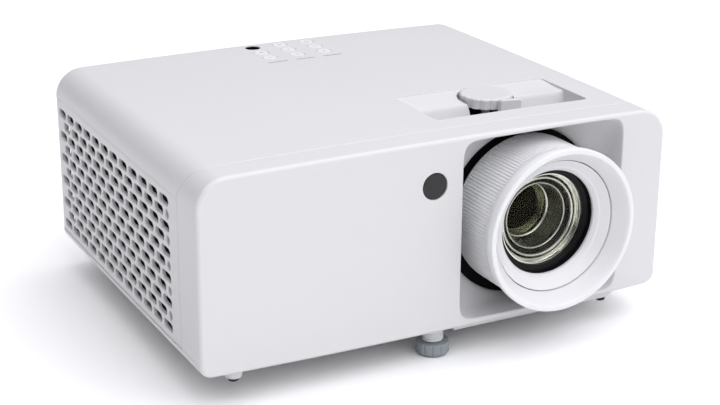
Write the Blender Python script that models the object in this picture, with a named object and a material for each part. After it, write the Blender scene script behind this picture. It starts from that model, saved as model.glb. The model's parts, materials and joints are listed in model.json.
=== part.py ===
"""Home projector with a zoom lens on a vertical shift carriage.

Metres, +Z up, the lens looks towards -Y. The origin is on the ground, under the middle of the
bounding box. Every size is set once below; depths are measured back from the front face.
"""

import bmesh
import bpy
from math import cos, pi, radians, sin, sqrt

for old in list(bpy.data.objects):
    bpy.data.objects.remove(old, do_unlink=True)

mm = 0.001

# sizes of the body
body_width = 336 * mm
body_depth = 272 * mm
face_height = 129 * mm
stand_height = 20 * mm  # ground to the lower edge of the face
lens_reach = 25 * mm  # lens lip in front of the face

wall = 2.5 * mm
panel_wall = 4 * mm  # the two side panels are thicker than the other shells
seam_gap = 0.4 * mm
clearance = 0.3 * mm  # between a piece and the seat or hole that holds it

# outer form
shoulder_radius = 20 * mm
lower_radius = 8.5 * mm
face_edge = 2.5 * mm
rear_side_radius = 9 * mm
rear_top_radius = 10 * mm
crown_across = 1.8 * mm  # the top is this much lower at the sides than in the middle
crown_back = 2.5 * mm  # and rises this much from the face to the rear
belly_across = 2.5 * mm  # the lower edge rises this much towards the sides
side_taper = 2 * mm
seam_depth_side = 30 * mm
seam_depth_top = 20 * mm

side_steps = 1
shoulder_steps = 5
top_steps = 6
lower_steps = 3
belly_steps = 4
fillet_steps = 3

# lens
lens_x = 72.7 * mm
lens_drop = 64.5 * mm  # axis below the upper edge of the face, so that dial and lever reach it
lens_height = face_height - lens_drop  # above the face's lower edge
shift_travel = 2.5 * mm  # either way from the middle
focus_radius = 52 * mm
lip_radius = focus_radius + 2.5 * mm
focus_bore = focus_radius - 5.7 * mm
focus_rear = 24 * mm  # depth of the focus ring's rear end
trim_radius = focus_bore - 2.5 * mm
mouth_radius = 35.2 * mm  # hole in the trim ring
front_lens_radius = 29.8 * mm
middle_lens_radius = 17.6 * mm
barrel_radius = 39 * mm  # behind the focus ring
barrel_bore = 16.9 * mm  # at its rear end
barrel_rear = 100 * mm
zoom_front = 38 * mm
zoom_width = 16 * mm
zoom_radius = 43 * mm
lever_rest = radians(4.5)
lever_swing = radians(18)  # either way from upright
lever_thickness = 4 * mm
lever_width = 8 * mm
tab_radius = 58 * mm  # lower edge of the lever's tab, from the lens axis
tab_half = 8 * mm
lever_depth = zoom_front + zoom_width / 2 + 5 * mm

carriage_half_width = 56 * mm
carriage_half_height = 40 * mm  # its lower half; the upper half ends under the gears
carriage_thickness = 12 * mm
rod_radius = 3 * mm
rod_reach = 49 * mm  # from the lens axis to each guide rod

# the funnel round the lens leaves room for the lens to shift
funnel_half_width = lip_radius + shift_travel + 4 * mm
funnel_half_height = lip_radius + shift_travel + 3.5 * mm
funnel_height = lens_height + 0.5 * mm
funnel_radius = focus_radius + shift_travel + 3.5 * mm
funnel_depth = 27 * mm
funnel_wall = 1.6 * mm
funnel_squareness = 14

# top recess and dial
recess_left = 14 * mm
recess_right = 131 * mm
recess_front = 38 * mm
recess_foot = 62 * mm  # depth at which the rear slope meets the floor
recess_step = 66 * mm
recess_rear = 93 * mm
recess_step_drop = 2.5 * mm
recess_drop = 16 * mm
recess_wall = 2 * mm
dial_depth = 73 * mm
dial_radius = 18 * mm
dial_top = 1.5 * mm  # above the cover
dial_thickness = 7 * mm
dial_lobes = 16
gear_teeth = 16
gear_module = 1.875 * mm
gear_thickness = 3.4 * mm
gear_distance = gear_teeth * gear_module
dial_shaft_radius = 3 * mm
pocket_radius = dial_radius + 1.7 * mm
slot_half = lever_thickness / 2 + 1.5 * mm
slot_reach = tab_radius * sin(lever_swing) + tab_half + 6 * mm

# keypad
button_radius = 5.4 * mm
button_pitch_x = 22 * mm
button_pitch_depth = 15.3 * mm
keypad_x = 4.6 * mm  # middle column
keypad_depth = 239 * mm  # middle row
button_travel = 0.8 * mm
flange_extra = 1.6 * mm
indicator_length = 14.3 * mm
indicator_width = 1.2 * mm
indicator_depth = 209.8 * mm
# (column, row) from the middle of the keypad
buttons = {
    "power_button": (0, 1),
    "source_button": (1, 1),
    "menu_button": (-1, 0),
    "up_button": (0, 0),
    "back_button": (1, 0),
    "left_button": (-1, -1),
    "enter_button": (0, -1),
    "right_button": (1, -1),
}
top_window_at = (-1, 1)
indicators = {"power_indicator": -1, "heat_indicator": 0, "light_indicator": 1}

# grilles
slot_rows = 11
slot_columns = 12
slot_pitch_z = 8.3 * mm
slot_pitch_depth = 18.2 * mm
slot_half_length = 7.8 * mm
slot_half_height = 2.8 * mm
slot_first_z = 17.8 * mm
slot_first_depth = 52.5 * mm

# feet
foot_depth = 14 * mm
rear_foot_x = 118 * mm
rear_foot_depth = 238 * mm
stem_radius = 7 * mm
stem_length = 34 * mm
knob_radius = 11 * mm
knob_height = 9 * mm
pad_radius = 3.6 * mm
pad_bottom = 11 * mm
bump_radius = 5.5 * mm
pads = {"front_left_pad": -141 * mm, "front_right_pad": 133 * mm}
pad_depth = 14 * mm
screws = {
    "case_screw_front_left": (-120 * mm, 62 * mm),
    "case_screw_front_right": (150 * mm, 62 * mm),
    "case_screw_rear_left": (-120 * mm, 205 * mm),
    "case_screw_rear_right": (150 * mm, 205 * mm),
}
screw_radius = 1.6 * mm
head_radius = 3.4 * mm
head_height = 1.6 * mm
feet = {
    "front_foot": (0, foot_depth),
    "rear_left_foot": (-rear_foot_x, rear_foot_depth),
    "rear_right_foot": (rear_foot_x, rear_foot_depth),
}

# the tub under the lens
tub_left = 9.5 * mm
tub_right = 143 * mm
tub_front = 5 * mm
tub_rear = 200 * mm
tub_drop = 5 * mm
tub_taper = 3 * mm

# rear panel and sockets
# name: (x, height above the ground, width, height, depth of the hollow)
sockets = {
    "power_inlet": (-112 * mm, 52 * mm, 24 * mm, 16.4 * mm, 14 * mm),
    "hdmi_socket_1": (2 * mm, 70 * mm, 14 * mm, 4.6 * mm, 9 * mm),
    "hdmi_socket_2": (24 * mm, 70 * mm, 14 * mm, 4.6 * mm, 9 * mm),
    "usb_socket": (45 * mm, 70 * mm, 12.6 * mm, 5.2 * mm, 9 * mm),
    "network_socket": (66 * mm, 72 * mm, 12 * mm, 9 * mm, 10 * mm),
}
socket_rim = 1 * mm
socket_back = 3 * mm
jacks = {"audio_jack": 84 * mm}
jack_radius = 3.6 * mm
jack_bore = 1.8 * mm
jack_height = 70 * mm
rear_inset = 0.5 * mm
rear_thickness = 2.5 * mm
board_top = 66 * mm

# what the case holds
chassis_top = stand_height + lens_height - zoom_radius - shift_travel - 1 * mm
chassis_thickness = 2 * mm
boss_radius = 5 * mm
fan_size = 70 * mm
fan_thickness = 20 * mm
fan_hub = 14 * mm
fans = {"exhaust_fan": (-147 * mm, 95 * mm), "intake_fan": (147 * mm, 165 * mm)}

face_y = -(body_depth - lens_reach) / 2
lens_z = stand_height + lens_height
top_z = stand_height + face_height
window_radius = 8.5 * mm
window_place = (-8.6 * mm, face_y, stand_height + 99.8 * mm)

white = ("white_case", (0.86, 0.86, 0.87), 0.42, 0.0)
pale = ("white_lens_ring", (0.83, 0.83, 0.85), 0.38, 0.0)
grey = ("foot_grey", (0.30, 0.33, 0.34), 0.5, 0.0)
black = ("black_plastic", (0.015, 0.015, 0.017), 0.35, 0.0)
gloss_black = ("ir_window", (0.01, 0.01, 0.012), 0.08, 0.0)
rubber = ("pad_rubber", (0.03, 0.03, 0.03), 0.8, 0.0)
coated_glass = ("coated_glass", (0.25, 0.27, 0.2), 0.03, 0.0)
dark_glass = ("dark_glass", (0.03, 0.035, 0.02), 0.03, 0.0)
silver = ("silver_barrel", (0.62, 0.62, 0.6), 0.32, 0.9)
steel = ("steel", (0.55, 0.56, 0.58), 0.3, 1.0)
cast = ("cast_alloy", (0.5, 0.51, 0.53), 0.5, 0.9)
board = ("circuit_board", (0.02, 0.16, 0.08), 0.5, 0.0)
dark = ("dark_plastic", (0.06, 0.06, 0.065), 0.5, 0.0)
guide = ("indicator_guide", (0.45, 0.46, 0.47), 0.3, 0.0)


# making objects
def material_of(look):
    name, colour, roughness, metallic = look
    found = bpy.data.materials.get(name)
    if found:
        return found
    made = bpy.data.materials.new(name)
    made.use_nodes = True
    shader = made.node_tree.nodes["Principled BSDF"]
    shader.inputs["Base Color"].default_value = (*colour, 1)
    shader.inputs["Roughness"].default_value = roughness
    shader.inputs["Metallic"].default_value = metallic
    made.diffuse_color = (*colour, 1)
    return made


def add_object(name, bm, look=None, location=(0, 0, 0), parent=None):
    """Turns the bmesh into an object. Without a look it's a hidden cutter."""
    bmesh.ops.recalc_face_normals(bm, faces=bm.faces)
    mesh = bpy.data.meshes.new(name)
    bm.to_mesh(mesh)
    bm.free()
    mesh.shade_smooth()
    mesh.set_sharp_from_angle(angle=radians(32))
    obj = bpy.data.objects.new(name, mesh)
    bpy.context.scene.collection.objects.link(obj)
    obj.location = location
    if parent:
        obj.parent = parent
        obj.location = [a - b for a, b in zip(location, world_place(parent))]
    if look:
        mesh.materials.append(material_of(look))
    else:
        obj.hide_render = True
        obj.display_type = "WIRE"
    return obj


def world_place(obj):
    place = obj.location.copy()
    while obj.parent:
        obj = obj.parent
        place += obj.location
    return place


def strip(bm, low, high, ends):
    """Triangles between two rows, always split the same way so that facing seams match."""
    for i, j in ends:
        bm.faces.new((low[i], low[j], high[j]))
        bm.faces.new((low[i], high[j], high[i]))


def loft(rings, bm=None, split=None):
    """Joins rings of points one after another and closes both ends."""
    bm = bm or bmesh.new()
    rows = [[bm.verts.new(point) for point in ring] for ring in rings]
    count = len(rows[0])
    around = [(i, (i + 1) % count) for i in range(count)]
    for level, (low, high) in enumerate(zip(rows, rows[1:])):
        if level == split:
            strip(bm, low, high, around)
            continue
        for i, j in around:
            bm.faces.new((low[i], low[j], high[j], high[i]))
    bm.faces.new(rows[0])
    bm.faces.new(reversed(rows[-1]))
    return bm


def on_axis(axis, a, b, along):
    return {"X": (along, a, b), "Y": (a, along, b), "Z": (a, b, along)}[axis]


def prism(outline, low, high, axis="Z", bm=None):
    """An outline pushed along an axis. Its points are the two other coordinates in X, Y, Z order."""
    return loft([[on_axis(axis, a, b, along) for a, b in outline] for along in (low, high)], bm)


def box(low, high, bm=None):
    outline = [(low[0], low[1]), (high[0], low[1]), (high[0], high[1]), (low[0], high[1])]
    return prism(outline, low[2], high[2], "Z", bm)


def circle(radius, steps, centre=(0, 0), start=0.0):
    angles = [start + 2 * pi * i / steps for i in range(steps)]
    return [(centre[0] + radius * cos(a), centre[1] + radius * sin(a)) for a in angles]


def revolve(profile, axis="Y", steps=36, bm=None):
    """Turns a closed profile of (radius, place along the axis) about the axis."""
    bm = bm or bmesh.new()
    columns = []
    for radius, along in profile:
        if radius == 0:
            columns.append([bm.verts.new(on_axis(axis, 0, 0, along))] * steps)
        else:
            columns.append([bm.verts.new(on_axis(axis, a, b, along)) for a, b in circle(radius, steps)])
    for here, after in zip(columns, columns[1:] + columns[:1]):
        for i in range(steps):
            j = (i + 1) % steps
            corners = list(dict.fromkeys((here[i], here[j], after[j], after[i])))
            if len(corners) > 2:
                bm.faces.new(corners)
    return bm


def boolean(target, tool, operation):
    modifier = target.modifiers.new(f"{operation.lower()} {tool.name}", "BOOLEAN")
    modifier.operation = operation
    modifier.solver = "EXACT"
    modifier.object = tool


def cut(target, name, bm, location=(0, 0, 0)):
    boolean(target, add_object(f"cut {name}", bm, location=location), "DIFFERENCE")


def join(target, name, bm, location=(0, 0, 0)):
    boolean(target, add_object(f"add {name}", bm, location=location), "UNION")


# the outer form
def rounding(depth, radius):
    """How far a fillet of this radius at the rear end has drawn the surface in."""
    into = depth - (body_depth - radius)
    return radius - sqrt(max(radius**2 - into**2, 0)) if into > 0 else 0.0


def face_rounding(depth):
    return face_edge - sqrt(face_edge**2 - (face_edge - depth) ** 2) if depth < face_edge else 0.0


def cover_height(x, depth):
    """Height of the top's outer surface, before its rear fillet."""
    rise = crown_back * (1 - (1 - depth / body_depth) ** 2)
    return top_z + rise - crown_across * (2 * x / body_width) ** 2


def belly_height(x):
    return stand_height + belly_across * (2 * x / body_width) ** 2


def arc(centre, radius, start, end, steps):
    angles = [start + (end - start) * i / steps for i in range(steps + 1)]
    return [(centre[0] + radius * cos(a), centre[1] + radius * sin(a)) for a in angles]


def body_ring(depth, inset=0.0):
    """The body's outline (x, z), from the foot of the left side up and clockwise."""
    front = face_rounding(depth)
    side = front + rounding(depth, rear_side_radius)
    top = front + rounding(depth, rear_top_radius)
    half = body_width / 2 - side_taper * (depth / body_depth) ** 2 - side - inset
    shoulder = shoulder_radius - side - inset
    lower = max(lower_radius - side - inset, 2 * mm)
    bend_x = half - shoulder
    bend_z = cover_height(bend_x, depth) - top - inset - shoulder
    foot_x = half - lower
    foot_z = belly_height(foot_x) + side + inset + lower
    low, high = foot_z + seam_gap, bend_z - seam_gap
    side_z = [low + (high - low) * i / side_steps for i in range(side_steps + 1)]
    top_x = [bend_x * (2 * i / top_steps - 1) for i in range(1, top_steps)]
    belly_x = [foot_x * (1 - 2 * i / belly_steps) for i in range(1, belly_steps)]
    ring = [(-half, z) for z in side_z]
    ring += arc((-bend_x, bend_z), shoulder, pi, pi / 2, shoulder_steps)
    ring += [(x, cover_height(x, depth) - top - inset) for x in top_x]
    ring += arc((bend_x, bend_z), shoulder, pi / 2, 0, shoulder_steps)
    ring += [(half, z) for z in reversed(side_z)]
    ring += arc((foot_x, foot_z), lower, 0, -pi / 2, lower_steps)
    ring += [(x, belly_height(x) + side + inset) for x in belly_x]
    ring += arc((-foot_x, foot_z), lower, -pi / 2, -pi, lower_steps)
    return ring


# where each shell starts and ends along that outline
left_side = range(0, side_steps + 1)
cover_part = range(left_side.stop, left_side.stop + 2 * shoulder_steps + top_steps + 1)
right_side = range(cover_part.stop, cover_part.stop + side_steps + 1)
belly_part = range(right_side.stop, right_side.stop + 2 * lower_steps + belly_steps + 1)


def seam_depth(k):
    """The seam behind the bezel lies further forward on the top than on the sides."""
    into = min(k - cover_part.start, cover_part.stop - 1 - k)
    share = min(max(into / shoulder_steps, 0), 1)
    return seam_depth_side + (seam_depth_top - seam_depth_side) * share**2 * (3 - 2 * share)


def skin_point(k, depth, inset):
    x, z = body_ring(depth, inset)[k]
    return (x, face_y + depth, z)


def rear_stations():
    turns = [pi / 2 * i / fillet_steps for i in range(fillet_steps + 1)]
    return [body_depth - rear_top_radius + rear_top_radius * sin(a) for a in turns]


def shell_patch(part, thickness):
    """One closed shell: the part of the skin between two seams, from the bezel to the rear."""
    along = (seam_depth_side + body_depth) / 2
    stations = [None, along, *rear_stations()]
    bm = bmesh.new()
    skins = []
    for inset in (0, thickness):
        rows = []
        for station in stations:
            depths = [station if station else seam_depth(k) + seam_gap for k in part]
            rows.append([bm.verts.new(skin_point(k, d, inset)) for k, d in zip(part, depths)])
        for low, high in zip(rows, rows[1:]):
            for i in range(len(part) - 1):
                bm.faces.new((low[i], low[i + 1], high[i + 1], high[i]))
        skins.append(rows)
    outer, inner = skins
    across = [(i, i + 1) for i in range(len(part) - 1)]
    strip(bm, outer[0], inner[0], across)
    strip(bm, outer[-1], inner[-1], across)
    for edge in (0, -1):
        for i in range(len(stations) - 1):
            bm.faces.new((outer[i][edge], outer[i + 1][edge], inner[i + 1][edge], inner[i][edge]))
    return bm


def make_bezel():
    """The front face with the band behind it, the lens funnel and the remote window's hole."""
    count = range(len(body_ring(0)))
    turns = [pi / 2 * i / fillet_steps for i in range(fillet_steps + 1)]
    outer = [[skin_point(k, face_edge * (1 - cos(a)), 0) for k in count] for a in turns]
    inner = [[skin_point(k, wall, wall) for k in count]]
    rim = [[skin_point(k, seam_depth(k), inset) for k in count] for inset in (0, wall)]
    bezel = add_object("front_bezel", loft(outer + rim + inner, split=len(outer)), white)
    middle = (lens_x, face_y, stand_height + funnel_height)
    join(bezel, "funnel", funnel(funnel_wall, 1 * mm, funnel_depth), middle)
    cut(bezel, "funnel", funnel(0, -1 * mm, funnel_depth + 1 * mm), middle)
    window_hole = prism(circle(window_radius + clearance, 24), -1 * mm, 2 * wall, "Y")
    cut(bezel, "window hole", window_hole, window_place)
    return bezel


def funnel(extra, start, end):
    """The lens recess: a rounded square at the face that turns into a circle."""
    steps, count = 4, 40
    rings = []
    for i in range(steps + 1):
        depth = start + (end - start) * i / steps
        share = min(max(depth / funnel_depth, 0), 1)
        power = 2 / (funnel_squareness + (2 - funnel_squareness) * sin(share * pi / 2))
        half_x = funnel_half_width + (funnel_radius - funnel_half_width) * share + extra
        half_z = funnel_half_height + (funnel_radius - funnel_half_height) * share + extra
        ring = []
        for c, s in circle(1, count, start=pi / count):
            x = half_x * abs(c) ** power * (1 if c > 0 else -1)
            z = half_z * abs(s) ** power * (1 if s > 0 else -1)
            ring.append((x, depth, z))
        rings.append(ring)
    return loft(rings)


def disc(radius, low, high, axis="Z", steps=18, bevel=0.3 * mm):
    """A round slab with small chamfers at both ends."""
    profile = [(0, low), (radius - bevel, low), (radius, low + bevel)]
    profile += [(radius, high - bevel), (radius - bevel, high), (0, high)]
    return revolve(profile, axis, steps)


# top cover
def make_top_cover():
    cover = add_object("top_cover", shell_patch(cover_part, wall), white)
    base = cover_height(lens_x, dial_depth)
    tray = [(face_y + d, base - drop) for d, drop in tray_outline()]
    join(cover, "tray", prism(tray, recess_left - recess_wall, recess_right + recess_wall, "X"))
    pocket = circle(pocket_radius + recess_wall, 28)
    pocket_place = (lens_x, face_y + dial_depth, base)
    low = -recess_drop - recess_wall
    join(cover, "dial pocket", prism(pocket, low, -1 * mm, "Z"), pocket_place)
    hollow = [(face_y + d, base - drop) for d, drop in hollow_outline()]
    cut(cover, "recess", prism(hollow, recess_left, recess_right, "X"))
    pocket = circle(pocket_radius, 28)
    cut(cover, "dial pocket", prism(pocket, -recess_drop, 6 * mm, "Z"), pocket_place)
    shaft = circle(dial_shaft_radius + clearance, 14)
    cut(cover, "dial shaft", prism(shaft, low - 1 * mm, 0, "Z"), pocket_place)
    slot_low = (lens_x - slot_reach, face_y + lever_depth - slot_half, base + low - 1 * mm)
    slot_high = (lens_x + slot_reach, face_y + lever_depth + slot_half, base - recess_drop / 2)
    cut(cover, "lever slot", box(slot_low, slot_high))
    cut(cover, "keypad", keypad_holes())
    return cover


def tray_outline():
    """(depth, drop) of the tray's outside; its rim ends inside the cover's wall."""
    grow = recess_wall
    return [
        (recess_front - grow, wall / 2),
        (recess_front - grow, recess_drop + grow),
        (recess_foot + grow, recess_drop + grow),
        (recess_step + grow, recess_step_drop + grow),
        (recess_rear, wall),
        (recess_rear, wall / 2),
    ]


def hollow_outline():
    over = -6 * mm
    return [
        (recess_front, over),
        (recess_front, recess_drop),
        (recess_foot, recess_drop),
        (recess_step, recess_step_drop),
        (recess_rear, 0),
        (recess_rear, over),
    ]


def keypad_place(column, row):
    x = keypad_x + column * button_pitch_x
    depth = keypad_depth + row * button_pitch_depth
    return (x, face_y + depth, cover_height(x, depth))


def indicator_place(column):
    x = keypad_x + column * button_pitch_x
    return (x, face_y + indicator_depth, cover_height(x, indicator_depth))


def keypad_holes():
    bm = bmesh.new()
    for column, row in [*buttons.values(), top_window_at]:
        x, y, z = keypad_place(column, row)
        hole = circle(button_radius + clearance, 14, (x, y))
        prism(hole, z - 3 * wall, z + wall, "Z", bm)
    for column in indicators.values():
        x, y, z = indicator_place(column)
        half_x = indicator_length / 2 + clearance
        half_y = indicator_width / 2 + clearance
        box((x - half_x, y - half_y, z - 3 * wall), (x + half_x, y + half_y, z + wall), bm)
    return bm


def make_keypad():
    under = wall + clearance
    flange = button_radius + flange_extra
    stem = 2 * mm
    stem_end = under + button_travel + 1.8 * mm
    for name, (column, row) in buttons.items():
        profile = [(0, 0), (button_radius, 0), (button_radius, -under)]
        profile += [(flange, -under), (flange, -under - 1 * mm)]
        profile += [(stem, -under - 1 * mm), (stem, -stem_end), (0, -stem_end)]
        add_object(name, revolve(profile, "Z", 14), white, keypad_place(column, row))
    window = disc(button_radius, -wall - 1 * mm, -0.2 * mm, "Z", 14)
    add_object("top_ir_window", window, gloss_black, keypad_place(*top_window_at))
    for name, column in indicators.items():
        low = (-indicator_length / 2, -indicator_width / 2, -wall - 1.5 * mm)
        high = (indicator_length / 2, indicator_width / 2, -0.1 * mm)
        add_object(name, box(low, high), guide, indicator_place(column))
    x, y, z = keypad_place(0, 0)
    board_top = z - stem_end - button_travel - clearance - crown_across / 8
    low = (x - 40 * mm, y - 42 * mm, board_top - 1.6 * mm)
    high = (x + 40 * mm, y + 21 * mm, board_top)
    add_object("keypad_board", box(low, high), board)


# side panels
def slot_outline(depth, z, half_length):
    points = [(-half_length, slot_half_height), (half_length, slot_half_height)]
    points += [(half_length, -slot_half_height), (-half_length, -slot_half_height)]
    return [(face_y + depth + a, stand_height + z + b) for a, b in points]


def grille_slots(side):
    bm = bmesh.new()
    low, high = sorted((side * (body_width / 2 + 2 * mm), side * (body_width / 2 - 4 * panel_wall)))
    for row in range(slot_rows):
        z = slot_first_z + row * slot_pitch_z
        shifted = row % 2
        for column in range(slot_columns - shifted):
            depth = slot_first_depth + (column + shifted / 2) * slot_pitch_depth
            prism(slot_outline(depth, z, slot_half_length), low, high, "X", bm)
        if shifted:
            depth = slot_first_depth - slot_half_length + 3.4 * mm
            prism(slot_outline(depth - 0.4 * mm, z, 3 * mm), low, high, "X", bm)
    return bm


def make_side_panels():
    for name, part, side in (("left", left_side, -1), ("right", right_side, 1)):
        panel = add_object(f"{name}_side_panel", shell_patch(part, panel_wall), white)
        cut(panel, f"{name} grille", grille_slots(side))


# rear panel and sockets
def make_rear_panel():
    count = range(len(body_ring(0)))
    ends = (body_depth - rear_inset - rear_thickness, body_depth - rear_inset)
    outline = [body_ring(body_depth, wall + seam_gap)[k] for k in count]
    rings = [[(x, face_y + depth, z) for x, z in outline] for depth in ends]
    panel = add_object("rear_panel", loft(rings), white)
    holes = bmesh.new()
    for x, z, width, height, _ in sockets.values():
        half_x = width / 2 + socket_rim + clearance
        half_z = height / 2 + socket_rim + clearance
        low = (x - half_x, face_y + body_depth - 6 * mm, z - half_z)
        high = (x + half_x, face_y + body_depth + 1 * mm, z + half_z)
        box(low, high, holes)
    for x in jacks.values():
        hole = circle(jack_radius + clearance, 14, (x, jack_height))
        prism(hole, face_y + body_depth - 6 * mm, face_y + body_depth + 1 * mm, "Y", holes)
    cut(panel, "socket holes", holes)
    return panel


def make_sockets():
    mouth = body_depth - rear_inset
    for name, (x, z, width, height, depth) in sockets.items():
        half_x, half_z = width / 2 + socket_rim, height / 2 + socket_rim
        look = black if name == "power_inlet" else steel
        shell = box((-half_x, -depth - socket_back, -half_z), (half_x, 0, half_z))
        socket = add_object(name, shell, look, (x, face_y + mouth, z))
        low, high = (-width / 2, -depth, -height / 2), (width / 2, 1 * mm, height / 2)
        cut(socket, f"{name} hollow", box(low, high), (x, face_y + mouth, z))
    for name, x in jacks.items():
        bore = 12 * mm
        profile = [(0, -bore - 2 * mm), (jack_radius, -bore - 2 * mm), (jack_radius, 0)]
        profile += [(jack_bore, 0), (jack_bore, -bore), (0, -bore)]
        add_object(name, revolve(profile, "Y", 14), black, (x, face_y + mouth, jack_height))


# bottom case and feet
def tub_ring(z, inset, front, rear):
    left, right = tub_left + inset / 3, tub_right - inset
    front, rear = face_y + front + inset / 3, face_y + rear - inset
    corner = 7 * mm
    points = [(left, front), (right - corner, front), (right, front + corner), (right, rear), (left, rear)]
    return [(x, y, z) for x, y in points]


def make_bottom_case():
    case = add_object("bottom_case", shell_patch(belly_part, wall), white)
    floor = stand_height - tub_drop
    under_bezel = stand_height - seam_gap
    lip = loft([
        tub_ring(floor, tub_taper, tub_front, tub_rear),
        tub_ring(under_bezel, 0, tub_front, tub_rear),
    ])
    join(case, "tub", lip)
    behind = seam_depth_side + 2 * seam_gap
    joined = stand_height + wall - 0.4 * mm
    low = (tub_left + 1 * mm, face_y + behind, floor + wall)
    high = (tub_right - 2 * mm, face_y + tub_rear - 2 * mm, joined)
    join(case, "tub neck", box(low, high))
    low = (tub_left + wall + 1 * mm, face_y + behind + wall, floor + wall)
    high = (tub_right - 3 * wall, face_y + tub_rear - 2 * wall, stand_height + 3 * wall)
    cut(case, "tub hollow", box(low, high))
    boss_top = stand_height + 14 * mm
    for name, (x, depth) in feet.items():
        if depth > seam_depth_side:
            boss = circle(stem_radius + clearance + wall, 18)
            base = belly_height(abs(x)) + wall / 2
            join(case, f"{name} boss", prism(boss, base, boss_top), (x, face_y + depth, 0))
            bore = circle(stem_radius + clearance, 18)
            cut(case, f"{name} bore", prism(bore, 0, boss_top + 1 * mm), (x, face_y + depth, 0))
    holes = bmesh.new()
    for x, depth in screws.values():
        centre = (x, face_y + depth)
        z = belly_height(x)
        prism(circle(screw_radius + clearance, 10, centre), z + wall / 2, z + 2 * wall, "Z", holes)
    cut(case, "screw holes", holes)
    heads = bmesh.new()
    for x, depth in screws.values():
        centre = (x, face_y + depth)
        z = belly_height(x)
        prism(circle(head_radius + clearance, 12, centre), z - 1 * mm, z + head_height, "Z", heads)
    cut(case, "screw heads", heads)
    return case


def make_front_foot_seat(bezel):
    """The front foot and the two bumpers come out through the bezel's lower band."""
    x, depth = feet["front_foot"]
    boss_top = stand_height + 14 * mm
    boss = circle(stem_radius + clearance + wall, 18)
    join(bezel, "foot boss", prism(boss, stand_height + wall / 2, boss_top), (x, face_y + depth, 0))
    bore = circle(stem_radius + clearance, 18)
    cut(bezel, "foot bore", prism(bore, 0, boss_top + 1 * mm), (x, face_y + depth, 0))
    for name, pad_x in pads.items():
        base = belly_height(pad_x) + wall / 2
        bump = prism(circle(bump_radius, 14), pad_bottom + 3 * mm, base, "Z")
        if pad_x < tub_left:
            join(bezel, f"{name} bump", bump, (pad_x, face_y + pad_depth, 0))
            top = pad_bottom + 3 * mm - clearance
        else:
            top = stand_height - tub_drop - clearance
        pad = disc(pad_radius, pad_bottom, top, "Z", 14, 0.8 * mm)
        add_object(name, pad, rubber, (pad_x, face_y + pad_depth, 0))


def make_feet():
    for name, (x, depth) in feet.items():
        low, high = knob_height + clearance, knob_height + stem_length
        stem = disc(stem_radius, low, high, "Z", 18, 0.6 * mm)
        stem = add_object(f"{name}_screw", stem, white, (x, face_y + depth, 0))
        outline = []
        notches, depth_in = 12, 0.7 * mm
        for i in range(notches * 2):
            radius = knob_radius - (depth_in if i % 2 else 0)
            angle = pi * i / notches
            outline.append((radius * cos(angle), radius * sin(angle)))
        sole = [(a * 0.86, b * 0.86, 0) for a, b in outline]
        low_ring = [(a, b, 2 * mm) for a, b in outline]
        high_ring = [(a, b, knob_height) for a, b in outline]
        add_object(f"{name}_knob", loft([sole, low_ring, high_ring]), grey, parent=stem,
                   location=(x, face_y + depth, 0))


def make_case_screws():
    length = 11 * mm
    for name, (x, depth) in screws.items():
        z = belly_height(x) + head_height - clearance
        profile = [(0, -head_height), (head_radius - 0.5 * mm, -head_height), (head_radius, -1 * mm)]
        profile += [(head_radius, 0), (screw_radius, 0), (screw_radius, length), (0, length)]
        add_object(name, revolve(profile, "Z", 12), steel, (x, face_y + depth, z))


# lens
def gear_floor():
    """Height of the gears' lower faces, under the recess."""
    base = cover_height(lens_x, dial_depth)
    return base - recess_drop - recess_wall - 0.8 * mm - gear_thickness


def carriage_top():
    """Above the lens axis, low enough to stay under the gears at the top of the shift."""
    return gear_floor() - lens_z - shift_travel - 2 * clearance


def lens_place(depth=0.0):
    return (lens_x, face_y + depth, lens_z)


def ring_of(name, profile, look, parent, steps=36):
    """A turned piece on the lens axis. Its profile is (radius, depth) in millimetres."""
    points = [(radius * mm, depth * mm) for radius, depth in profile]
    return add_object(name, revolve(points, "Y", steps), look, lens_place(), parent)


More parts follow.
